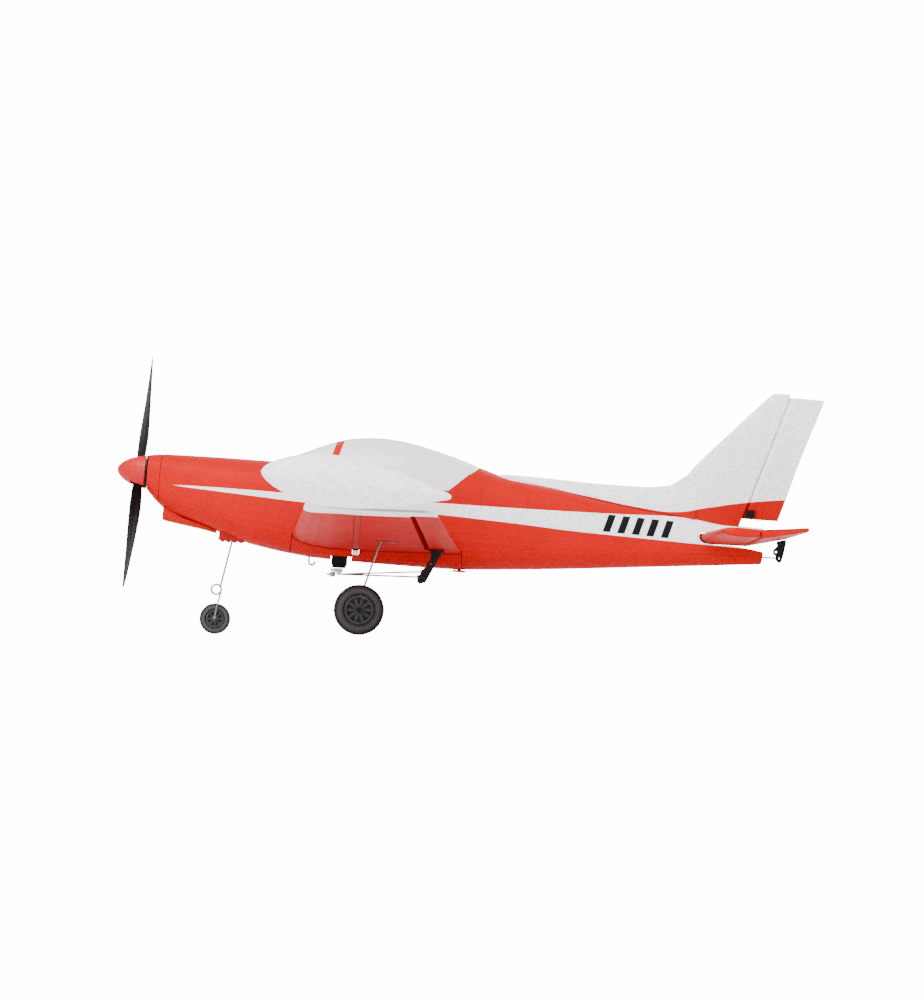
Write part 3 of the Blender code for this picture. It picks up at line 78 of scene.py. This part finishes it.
# Paint edges, level millimetres
WAVER = 0.12                       # a hand-masked edge wanders this far
CRISP = 0.12
SOFT = 0.15
CURVE_REACH = 30.0                 # every painted line stays this near the thrust line
STRIPE_TOP = [(20.0, -8.4), (62.0, -8.0), (115.0, -8.2), (222.0, -6.6), (290.0, -5.5),
              (356.0, -3.6), (397.0, -2.0), (437.0, -3.6), (470.0, -3.6)]
STRIPE_LOW = [(20.0, -8.8), (44.0, -10.2), (81.0, -12.2), (118.0, -14.0), (220.0, -15.2),
              (285.0, -17.5), (320.0, -19.2), (356.0, -20.0), (412.0, -21.2), (470.0, -22.0)]
STRIPE_START, STRIPE_FADE = 24.0, 4.0
DORSAL_LOW = [(258.0, 20.5), (269.0, 16.0), (290.0, 13.6), (332.0, 7.8), (368.0, 3.0),
              (394.0, 1.4), (421.0, 6.8), (447.0, 12.4), (480.0, 17.4), (510.0, 21.0)]
DORSAL_START = 262.0

# Slanted blocks on the stripe
BAR_FIRST, BAR_PITCH, BAR_COUNT = 341.0, 11.0, 5
BAR_SPAN = (0.6, 6.2)              # within one pitch
BAR_RISE = (2.0, 15.2)             # over the stripe's lower edge
BAR_LEAN = 0.30

# Lines pressed in the fuselage's flank, given only as painted shade in the paint
PANEL_LINES = (249.9, 284.9)
LINE_HALF, LINE_REACH, LINE_FADE = 0.3, 9.0, 1.0
LINE_SHADE_DEPTH = 0.35                  # how far a line's painted shade darkens the paint
GROOVE_X, GROOVE_FADE = (407.0, 453.0), 0.5
GROOVE_SLOPE, GROOVE_START, GROOVE_HALF = 0.0366, -44.0, 0.35

# The wing's white tip, and the thin dark line under it
WHITE_TIP_Y = 191.5
TIP_NOSE_X, TIP_NOSE_SWEEP = (120.0, 152.0), 30.0
DARK_LINE_OUT, DARK_LINE_OUT_FADE = (22.0, 31.0), 1.5
DARK_LINE_X, DARK_LINE_X_FADE = (140.0, 208.0), 4.0

# The canopy's painted bow
BOW_X, BOW_LEAN, BOW_HALF = 133.4, 0.27, 2.7

COLLAR_Y = 0.0894                  # metres out, between a main wheel and the collar outside it

# White tabs in the spar slot, level millimetres
TAB_X, TAB_Y, TAB_Z = (157.8, 162.2), (12.0, 27.0), (-49.8, -46.4)

# Bevel widths, millimetres
SOFT_EDGES = {"fuselage_left": 0.5, "fuselage_right": 0.5, "rudder": 0.6, "chin_scoop": 0.6}

# Light: what the camera sees of the room, and what the room gives the model
SEEN_WHITE, ROOM_LIGHT = 15.0, 1.35


class Shader:
    """A material's node tree with short ways to add maths and textures."""

    def __init__(self, name):
        self.mat = bpy.data.materials.new(name)
        self.mat.use_nodes = True
        self.tree = self.mat.node_tree
        self.bsdf = self.tree.nodes["Principled BSDF"]

    def node(self, kind, **inputs):
        made = self.tree.nodes.new(kind)
        for key, value in inputs.items():
            self.put(made.inputs[key.replace("_", " ")], value)
        return made

    def put(self, socket, value):
        if isinstance(value, bpy.types.NodeSocket):
            self.tree.links.new(value, socket)
        elif isinstance(value, tuple) and len(value) == 3 and socket.type == 'RGBA':
            socket.default_value = (*value, 1.0)
        else:
            socket.default_value = value

    def math(self, operation, a, b=0.0, c=0.0):
        made = self.tree.nodes.new('ShaderNodeMath')
        made.operation = operation
        for socket, value in zip(made.inputs, (a, b, c)):
            self.put(socket, value)
        return made.outputs[0]

    def minus(self, a, b):
        return self.math('SUBTRACT', a, b)

    def times(self, a, b):
        return self.math('MULTIPLY', a, b)

    def size(self, a):
        """The value without its sign."""
        return self.math('ABSOLUTE', a)

    def position(self):
        return self.node('ShaderNodeTexCoord').outputs["Object"]

    def split(self, vector):
        made = self.node('ShaderNodeSeparateXYZ', Vector=vector)
        return made.outputs[0], made.outputs[1], made.outputs[2]

    def level(self):
        """Object position in the airframe's level axes, in millimetres: x, y, z."""
        c, s = math.cos(SIT_ANGLE) * PER_METRE, math.sin(SIT_ANGLE) * PER_METRE
        x, y, z = self.split(self.position())
        x, z = self.minus(x, COWL_X), self.minus(z, COWL_Z)
        along = self.minus(self.times(x, c), self.times(z, s))
        up = self.math('ADD', self.times(x, s), self.times(z, c))
        return along, self.times(y, PER_METRE), up

    def curve(self, x, points):
        """Height of a smooth line through (x, height) points, as a socket."""
        first, last = points[0][0], points[-1][0]
        made = self.node('ShaderNodeFloatCurve',
                         Value=self.math('DIVIDE', self.minus(x, first), last - first))
        line = made.mapping.curves[0]
        scaled = [((px - first) / (last - first), (pz + CURVE_REACH) / (2 * CURVE_REACH))
                  for px, pz in points]
        line.points[0].location = scaled[0]
        line.points[1].location = scaled[-1]
        for place in scaled[1:-1]:
            line.points.new(*place)
        made.mapping.update()
        return self.math('MULTIPLY_ADD', made.outputs[0], 2 * CURVE_REACH, -CURVE_REACH)

    def edge(self, value, soft):
        """0 below zero, 1 above it, over a soft step in the value's unit."""
        return self.range(value, 0.0, 1.0, -soft, soft)

    def inside(self, value, low, high, soft):
        """1 between low and high, 0 outside them."""
        return self.times(self.edge(self.minus(value, low), soft),
                          self.edge(self.minus(high, value), soft))

    def mix(self, factor, a, b):
        made = self.tree.nodes.new('ShaderNodeMix')
        made.data_type = 'RGBA'
        self.put(made.inputs["Factor"], factor)
        self.put(made.inputs["A"], a)
        self.put(made.inputs["B"], b)
        return made.outputs["Result"]

    def noise(self, scale, detail=3.0, vector=None):
        made = self.node('ShaderNodeTexNoise', Scale=scale, Detail=detail,
                         Vector=vector or self.position())
        return made.outputs["Fac"]

    def range(self, value, low, high, source_low=0.0, source_high=1.0):
        """The value's stretch from source_low to source_high, laid over low to high."""
        made = self.node('ShaderNodeMapRange', Value=value)
        made.inputs["From Min"].default_value = source_low
        made.inputs["From Max"].default_value = source_high
        made.inputs["To Min"].default_value = low
        made.inputs["To Max"].default_value = high
        return made.outputs[0]

    def cloud(self, scale, source_low, source_high):
        """Noise with its middle stretch spread over 0 to 1."""
        return self.range(self.noise(scale), 0.0, 1.0, source_low, source_high)

    def grain(self, scale, low, high):
        """Noise between low and high."""
        return self.range(self.noise(scale), low, high)

    def bump(self, height, strength, distance, below=None):
        made = self.node('ShaderNodeBump', Height=height)
        made.inputs["Strength"].default_value = strength
        made.inputs["Distance"].default_value = distance
        if below is not None:
            self.tree.links.new(below, made.inputs["Normal"])
        return made.outputs[0]

    def set(self, **inputs):
        for key, value in inputs.items():
            self.put(self.bsdf.inputs[key.replace("_", " ")], value)


def bead_height(sh):
    """Pressed foam beads: flat cells with a fine crease between them."""
    cells = sh.node('ShaderNodeTexVoronoi', Scale=BEAD, Vector=sh.position())
    cells.feature = 'DISTANCE_TO_EDGE'
    return sh.range(cells.outputs["Distance"], 0.0, 1.0, 0.0, BEAD_EDGE)


def bead_tint(sh):
    """One random level for each bead."""
    cells = sh.node('ShaderNodeTexVoronoi', Scale=BEAD, Vector=sh.position())
    return sh.split(cells.outputs["Color"])[0]


def red_and_white(sh, white):
    """Foam colour: red where white is 0, with faint bead and sponge variation."""
    red = sh.mix(sh.cloud(26.0, 0.25, 0.8), RED_SHADE, RED)
    red = sh.mix(sh.times(bead_tint(sh), 0.22), red, RED_BEAD)
    pale = sh.mix(sh.cloud(34.0, 0.3, 0.75), WHITE_SHADE, WHITE)
    pale = sh.mix(sh.times(bead_tint(sh), 0.45), pale, WHITE_BEAD)
    grit = sh.range(sh.noise(520.0, 2.0), 0.60, 0.0, 0.36, 0.60)
    pale = sh.mix(grit, pale, WHITE_GRIT)
    dark_line = sh.range(bead_height(sh), 0.42, 0.0, 0.0, 0.012)
    return sh.mix(white, red, sh.mix(dark_line, pale, WHITE_SEAM))


def finish_foam(sh, colour, crease=0.16, rough=(0.36, 0.50)):
    """Dull sheen, beads and a slow swell over a foam colour."""
    sh.set(Base_Color=colour, Roughness=sh.grain(120.0, *rough))
    sh.set(Specular_IOR_Level=0.05)
    swell = sh.bump(sh.noise(46.0, 2.0), 0.10, 0.0008)
    sh.set(Normal=sh.bump(bead_height(sh), crease, BEAD_RELIEF, swell))
    return sh.mat


def masked(sh, place):
    """A place moved by the small waver of a hand-masked paint edge."""
    return sh.math('ADD', place, sh.grain(180.0, -WAVER, WAVER))


def over_dorsal(sh, x, z):
    """1 in the white over the dorsal line, which runs from the fuselage into the fin."""
    return sh.edge(sh.minus(z, sh.curve(x, DORSAL_LOW)), SOFT)


def fuselage_paint():
    sh = Shader("fuselage_paint")
    x, _, z = sh.level()
    z = masked(sh, z)
    low = sh.curve(x, STRIPE_LOW)
    stripe = sh.times(sh.edge(sh.minus(sh.curve(x, STRIPE_TOP), z), CRISP),
                      sh.edge(sh.minus(z, low), CRISP))
    stripe = sh.times(stripe, sh.edge(sh.minus(x, STRIPE_START), STRIPE_FADE))
    dorsal = sh.times(sh.edge(sh.minus(x, DORSAL_START), SOFT), over_dorsal(sh, x, z))
    colour = red_and_white(sh, sh.math('MAXIMUM', stripe, dorsal))
    colour = sh.mix(registration_bars(sh, x, sh.minus(z, low)), colour, BAR_BLACK)
    # painted shade in the pressed lines and in the groove on the tail
    colour = sh.mix(sh.times(panel_line_shade(sh, x, z), LINE_SHADE_DEPTH), colour, GROOVE_SHADE_RED)
    return finish_foam(sh, colour)


def registration_bars(sh, x, rise):
    """Slanted black blocks on the stripe, in place of lettering."""
    lean = sh.minus(x, sh.times(rise, BAR_LEAN))
    within = sh.math('MODULO', sh.minus(lean, BAR_FIRST), BAR_PITCH)
    bars = sh.inside(within, *BAR_SPAN, CRISP)
    row = sh.inside(lean, BAR_FIRST, BAR_FIRST + BAR_PITCH * BAR_COUNT, CRISP)
    return sh.times(sh.times(bars, row), sh.inside(rise, *BAR_RISE, CRISP))


def panel_line_shade(sh, x, z):
    """Painted shade for the two upright lines pressed in behind the wing, and for the long groove
    low on the tail.
    """
    upright = [sh.inside(x, place - LINE_HALF, place + LINE_HALF, SOFT) for place in PANEL_LINES]
    lines = sh.times(sh.math('MAXIMUM', *upright), sh.inside(z, -LINE_REACH, LINE_REACH, LINE_FADE))
    rise = sh.minus(z, sh.math('MULTIPLY_ADD', x, GROOVE_SLOPE, GROOVE_START))
    groove = sh.times(sh.inside(rise, -GROOVE_HALF, GROOVE_HALF, SOFT),
                      sh.inside(x, *GROOVE_X, GROOVE_FADE))
    return sh.math('MAXIMUM', lines, groove)


def fin_paint():
    sh = Shader("fin_paint")
    x, _, z = sh.level()
    return finish_foam(sh, red_and_white(sh, over_dorsal(sh, x, masked(sh, z))))


def wing_paint():
    """Red with a white tip, whose edge sweeps in over the leading edge."""
    sh = Shader("wing_paint")
    x, y, _ = sh.level()
    out = sh.minus(sh.size(y), WHITE_TIP_Y)
    nose = sh.range(x, 1.0, 0.0, *TIP_NOSE_X)
    out = masked(sh, sh.math('MULTIPLY_ADD', sh.times(nose, nose), TIP_NOSE_SWEEP, out))
    colour = red_and_white(sh, sh.edge(out, SOFT))
    up = sh.split(sh.node('ShaderNodeTexCoord').outputs["Normal"])[2]
    # a thin dark line on the downward-facing skin just beyond the white tip's edge
    dark_line = sh.times(sh.inside(out, *DARK_LINE_OUT, DARK_LINE_OUT_FADE), sh.inside(x, *DARK_LINE_X, DARK_LINE_X_FADE))
    dark_line = sh.times(dark_line, sh.edge(sh.times(up, -1.0), 0.1))
    colour = sh.mix(sh.times(dark_line, 0.8), colour, UNDERSIDE_DARK_LINE)
    return finish_foam(sh, colour, 0.20, (0.42, 0.56))


def plain_foam(name, white):
    sh = Shader(name)
    return finish_foam(sh, red_and_white(sh, white), 0.20 if white else 0.16)


def canopy_plastic():
    """Milky formed sheet with the painted red bow across the front."""
    sh = Shader("canopy_plastic")
    x, _, z = sh.level()
    away = sh.size(sh.minus(x, sh.math('MULTIPLY_ADD', z, BOW_LEAN, BOW_X)))
    band = sh.edge(sh.minus(BOW_HALF, away), CRISP)
    sheet = sh.mix(sh.cloud(18.0, 0.3, 0.7), MILKY_SHADE, MILKY)
    sh.set(Base_Color=sh.mix(band, sheet, RED), Roughness=sh.grain(60.0, 0.22, 0.34))
    sh.set(Coat_Weight=sh.range(band, 0.25, 0.0), Coat_Roughness=0.12)
    sh.set(Specular_IOR_Level=sh.range(band, 0.4, 0.1))
    sh.set(Normal=sh.bump(sh.noise(14.0, 1.0), 0.06, 0.0015))
    return sh.mat


def moulded(name, colour, rough, pores=900.0, relief=0.08, shine=0.10):
    """Moulded plastic with fine pores."""
    sh = Shader(name)
    darker = tuple(0.82 * c for c in colour)
    sh.set(Base_Color=sh.mix(sh.noise(60.0), darker, colour), Specular_IOR_Level=shine)
    sh.set(Roughness=sh.grain(200.0, rough - 0.06, rough + 0.08))
    sh.set(Normal=sh.bump(sh.noise(pores), relief, 0.0002))
    return sh.mat


def stretched_noise(sh, stretch, scale, detail):
    """Noise drawn out into streaks: a small stretch gives long streaks along that axis."""
    along = sh.node('ShaderNodeMapping', Vector=sh.position())
    along.inputs["Scale"].default_value = stretch
    return sh.noise(scale, detail, along.outputs[0])


def metal(name, colour, rough, stretch):
    """Drawn or turned metal. The collars at the ends of the main axles are blackened."""
    sh = Shader(name)
    streaks = stretched_noise(sh, stretch, 300.0, 4.0)
    bright = sh.mix(streaks, tuple(0.8 * c for c in colour), colour)
    out = sh.size(sh.split(sh.position())[1])
    collar = sh.edge(sh.minus(out, COLLAR_Y), 0.0002)
    sh.set(Base_Color=sh.mix(collar, bright, COLLAR_BLACK), Metallic=1.0)
    sh.set(Roughness=sh.range(streaks, rough - 0.05, rough + 0.12))
    sh.set(Normal=sh.bump(streaks, 0.05, 0.0001))
    return sh.mat


def wheel_size(tyre):
    """Axle point and radius of a tyre, in metres."""
    points = [vertex.co for vertex in NODES[tyre].data.vertices]
    low = Vector([min(point[k] for point in points) for k in range(3)])
    high = Vector([max(point[k] for point in points) for k in range(3)])
    return (low + high) / 2, (high.z - low.z) / 2


def hub_plastic(name, tyre, web):
    """Black moulding, with painted shade on the thin web behind the raised spokes, which stay
    paler.
    """
    sh = Shader(name)
    axle, _ = wheel_size(tyre)
    out = sh.size(sh.split(sh.position())[1])
    off = sh.size(sh.minus(out, abs(axle.y)))
    raised = sh.edge(sh.minus(off, web), 0.0003)
    # the recessed web behind the spokes gets painted shade, darker than the spokes
    sh.set(Base_Color=sh.mix(raised, HUB_WEB_SHADE, sh.mix(sh.noise(300.0), HUB_SPOKE, HUB_SPOKE_PALE)))
    sh.set(Roughness=sh.grain(200.0, 0.38, 0.52), Specular_IOR_Level=0.15)
    sh.set(Normal=sh.bump(sh.noise(900.0), 0.08, 0.0002))
    return sh.mat


def tyre_rubber(name, tyre):
    """Foam rubber: a paler grey band on the sidewall, darker on the tread and at the rim edge."""
    sh = Shader(name)
    axle, radius = wheel_size(tyre)
    pores = sh.node('ShaderNodeTexVoronoi', Scale=1500.0, Vector=sh.position()).outputs["Distance"]
    dark = sh.mix(sh.cloud(90.0, 0.35, 0.75), TREAD, TREAD_DUST)
    x, _, z = sh.split(sh.position())
    x, z = sh.minus(x, axle.x), sh.minus(z, axle.z)
    out = sh.math('SQRT', sh.math('ADD', sh.times(x, x), sh.times(z, z)))
    wall = sh.inside(sh.math('DIVIDE', out, radius), 0.66, 0.86, 0.07)
    sh.set(Base_Color=sh.mix(wall, dark, SIDEWALL))
    sh.set(Roughness=sh.grain(240.0, 0.62, 0.82), Specular_IOR_Level=0.08)
    sh.set(Normal=sh.bump(pores, 0.25, 0.00015))
    return sh.mat


def plywood():
    sh = Shader("plywood_sheet")
    veins = stretched_noise(sh, (0.12, 1.0, 1.0), 420.0, 5.0)
    sh.set(Base_Color=sh.mix(veins, PLY_DARK, PLY_PALE))
    sh.set(Roughness=sh.range(veins, 0.5, 0.7), Normal=sh.bump(veins, 0.15, 0.0002))
    return sh.mat


def dress(material, *names):
    for name in names:
        mesh = NODES[name].data
        mesh.materials.clear()
        mesh.materials.append(material)


def dress_foam():
    dress(fuselage_paint(), "fuselage_left", "fuselage_right", "nose_cowl")
    dress(fin_paint(), "fin", "rudder")
    dress(wing_paint(), "wing_left", "wing_right")
    dress(plain_foam("red_foam", 0.0), "chin_scoop", "canopy_frame", "belly_pan", "stabilizer",
          "elevator", "aileron_left", "aileron_right")
    white = plain_foam("white_foam", 1.0)
    dress(white, "tip_tank_left", "tip_tank_right")
    spar_tabs(white)


def dress_plastic():
    dress(canopy_plastic(), "canopy")
    dress(moulded("black_nylon", (0.0045, 0.0045, 0.0048), 0.40), "propeller", "spinner_backplate",
          "aileron_horn_left", "aileron_horn_right", "rudder_horn", "rudder_horn_plate",
          "elevator_horn")
    dress(moulded("servo_case", (0.0045, 0.0032, 0.0030), 0.40, pores=1400.0, shine=0.06),
          "aileron_servo", "elevator_servo", "rudder_servo")
    dress(hub_plastic("nose_hub_plastic", "nose_tyre", 0.0008), "nose_hub")
    dress(hub_plastic("main_hub_plastic", "main_tyre_left", 0.0011), "main_hub_left",
          "main_hub_right")
    dress(moulded("spinner_plastic", (0.42, 0.0014, 0.0011), 0.40, pores=700.0, relief=0.05,
                  shine=0.22), "spinner")
    dress(moulded("red_nylon", (0.33, 0.0012, 0.001), 0.45), "nose_gear_block",
          "main_plate_left", "main_plate_right", "wing_spar", "wing_bolt_front", "wing_bolt_rear",
          "tow_hook")
    dress(moulded("white_nylon", (0.78, 0.77, 0.75), 0.38), "aileron_servo_arm",
          "elevator_servo_arm", "rudder_servo_arm")


def dress_metal_and_rubber():
    dress(metal("spring_wire", (0.20, 0.198, 0.192), 0.30, (1.0, 1.0, 0.15)), "nose_leg",
          "main_leg_left", "main_leg_right", "aileron_pushrod_left", "aileron_pushrod_right",
          "elevator_pushrod", "rudder_pushrod", "steering_pushrod")
    dress(metal("turned_aluminium", (0.30, 0.30, 0.305), 0.28, (1.0, 0.1, 0.1)), "prop_shaft",
          "motor_bell")
    dress(metal("copper_winding", (0.30, 0.10, 0.04), 0.30, (4.0, 1.0, 1.0)), "motor_stator")
    dress(tyre_rubber("nose_rubber", "nose_tyre"), "nose_tyre")
    dress(tyre_rubber("main_rubber", "main_tyre_left"), "main_tyre_left", "main_tyre_right")


def dress_inside():
    dress(moulded("blue_wrap", (0.004, 0.02, 0.11), 0.28, pores=300.0, relief=0.12), "battery",
          "esc")
    dress(moulded("circuit_case", (0.004, 0.04, 0.015), 0.42), "receiver")
    dress(plywood(), "motor_mount", "equipment_tray")


def standing(x, y, z):
    """Level airframe millimetres to standing metres."""
    c, s = math.cos(SIT_ANGLE) / PER_METRE, math.sin(SIT_ANGLE) / PER_METRE
    return Vector((COWL_X + x * c + z * s, COWL_Y + y / PER_METRE, COWL_Z + z * c - x * s))


def spar_tabs(material):
    """White foam tabs that close the spar slot under the wing root."""
    outward = [(0, 1, 3, 2), (4, 6, 7, 5), (0, 4, 5, 1), (2, 3, 7, 6), (0, 2, 6, 4), (1, 5, 7, 3)]
    for side, name in ((-1, "left"), (1, "right")):
        corners = [standing(x, side * y, z) for x in TAB_X for y in TAB_Y for z in TAB_Z]
        faces = outward if side > 0 else [face[::-1] for face in outward]
        mesh = bpy.data.meshes.new("spar_tab_" + name)
        mesh.from_pydata(corners, [], faces)
        mesh.materials.append(material)
        tab = bpy.data.objects.new("spar_tab_" + name, mesh)
        bpy.context.scene.collection.objects.link(tab)
        soft = tab.modifiers.new("soft edge", 'BEVEL')
        soft.width = 0.0004
        soft.segments = 2
        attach(tab, "airframe")


def soften_edges():
    """Foam and moulded edges are never knife sharp."""
    for name, width in SOFT_EDGES.items():
        soft = NODES[name].modifiers.new("soft edge", 'BEVEL')
        soft.width = width / PER_METRE
        soft.segments = 2
        soft.limit_method = 'ANGLE'
        soft.angle_limit = math.radians(50)


def studio_paper():
    """Pale paper that the camera sees as plain white."""
    sh = Shader("studio_paper")
    sh.set(Base_Color=sh.mix(sh.noise(3.0), (0.93, 0.93, 0.93), (0.95, 0.95, 0.95)))
    sh.set(Roughness=0.9)
    glow = sh.node('ShaderNodeEmission', Color=(1.0, 1.0, 1.0, 1.0), Strength=SEEN_WHITE)
    seen = sh.node('ShaderNodeLightPath').outputs["Is Camera Ray"]
    blend = sh.node('ShaderNodeMixShader', Fac=seen)
    sh.tree.links.new(sh.bsdf.outputs[0], blend.inputs[1])
    sh.tree.links.new(glow.outputs[0], blend.inputs[2])
    sh.tree.links.new(blend.outputs[0], sh.tree.nodes["Material Output"].inputs["Surface"])
    return sh.mat


def plain_stage():
    """Pale floor that runs up into a backdrop, metres."""
    half_width, front, back, height, turn, steps = 9.0, -7.0, 4.0, 6.0, 1.6, 12
    under = 0.0002                 # the floor lies this far under the tyres
    rows = [(front, 0.0), (back - turn, 0.0)]
    for k in range(1, steps + 1):
        a = math.radians(90 * k / steps)
        rows.append((back - turn + turn * math.sin(a), turn - turn * math.cos(a)))
    rows.append((back, height))
    mesh = bpy.data.meshes.new("studio_sweep")
    corners = [(x, y, z - under) for y, z in rows for x in (-half_width, half_width)]
    faces = [(2 * k, 2 * k + 1, 2 * k + 3, 2 * k + 2) for k in range(len(rows) - 1)]
    mesh.from_pydata(corners, [], faces)
    mesh.materials.append(studio_paper())
    mesh.shade_smooth()
    sweep = bpy.data.objects.new("studio_sweep", mesh)
    bpy.context.scene.collection.objects.link(sweep)


def area_light(name, place, aim, size, power):
    lamp = bpy.data.lights.new(name, 'AREA')
    lamp.shape = 'RECTANGLE'
    lamp.size, lamp.size_y = size
    lamp.energy = power
    obj = bpy.data.objects.new(name, lamp)
    bpy.context.scene.collection.objects.link(obj)
    obj.location = place
    obj.rotation_euler = (Vector(aim) - Vector(place)).to_track_quat('-Z', 'Y').to_euler()


def light_studio():
    """Soft light from above and in front, in a room that the camera sees as white."""
    world = bpy.data.worlds.new("studio")
    world.use_nodes = True
    nodes, links = world.node_tree.nodes, world.node_tree.links
    background = nodes["Background"]
    background.inputs["Color"].default_value = (1.0, 1.0, 1.0, 1.0)
    level = nodes.new('ShaderNodeMath')
    level.operation = 'MULTIPLY_ADD'
    links.new(nodes.new('ShaderNodeLightPath').outputs["Is Camera Ray"], level.inputs[0])
    level.inputs[1].default_value = SEEN_WHITE - ROOM_LIGHT
    level.inputs[2].default_value = ROOM_LIGHT
    links.new(level.outputs[0], background.inputs["Strength"])
    bpy.context.scene.world = world
    area_light("key_above", (-0.5, -1.2, 1.9), (0, 0, 0.08), size=(1.8, 1.2), power=92.0)
    area_light("fill_front", (-1.2, -2.4, 0.5), (0, 0, 0.08), size=(1.6, 1.6), power=42.0)
    area_light("rim_back", (0.8, 1.6, 1.4), (0, 0, 0.1), size=(1.5, 0.8), power=12.0)


def set_camera():
    """Abreast of the main wheels, low and far off, so the port side is seen a little from below."""
    data = bpy.data.cameras.new("camera")
    data.sensor_width = 36.0
    data.lens = 108.0
    data.clip_end = 50.0
    camera = bpy.data.objects.new("camera", data)
    bpy.context.scene.collection.objects.link(camera)
    axle, _ = wheel_size("main_tyre_left")
    away, eye_height = 2.25, 0.0218
    camera.location = (axle.x, -away, eye_height)
    aim = Vector((-0.0071, 0.0, 0.1005))
    camera.rotation_euler = (aim - camera.location).to_track_quat('-Z', 'Y').to_euler()
    bpy.context.scene.camera = camera


dress_foam()
dress_plastic()
dress_metal_and_rubber()
dress_inside()
soften_edges()
plain_stage()
light_studio()
set_camera()
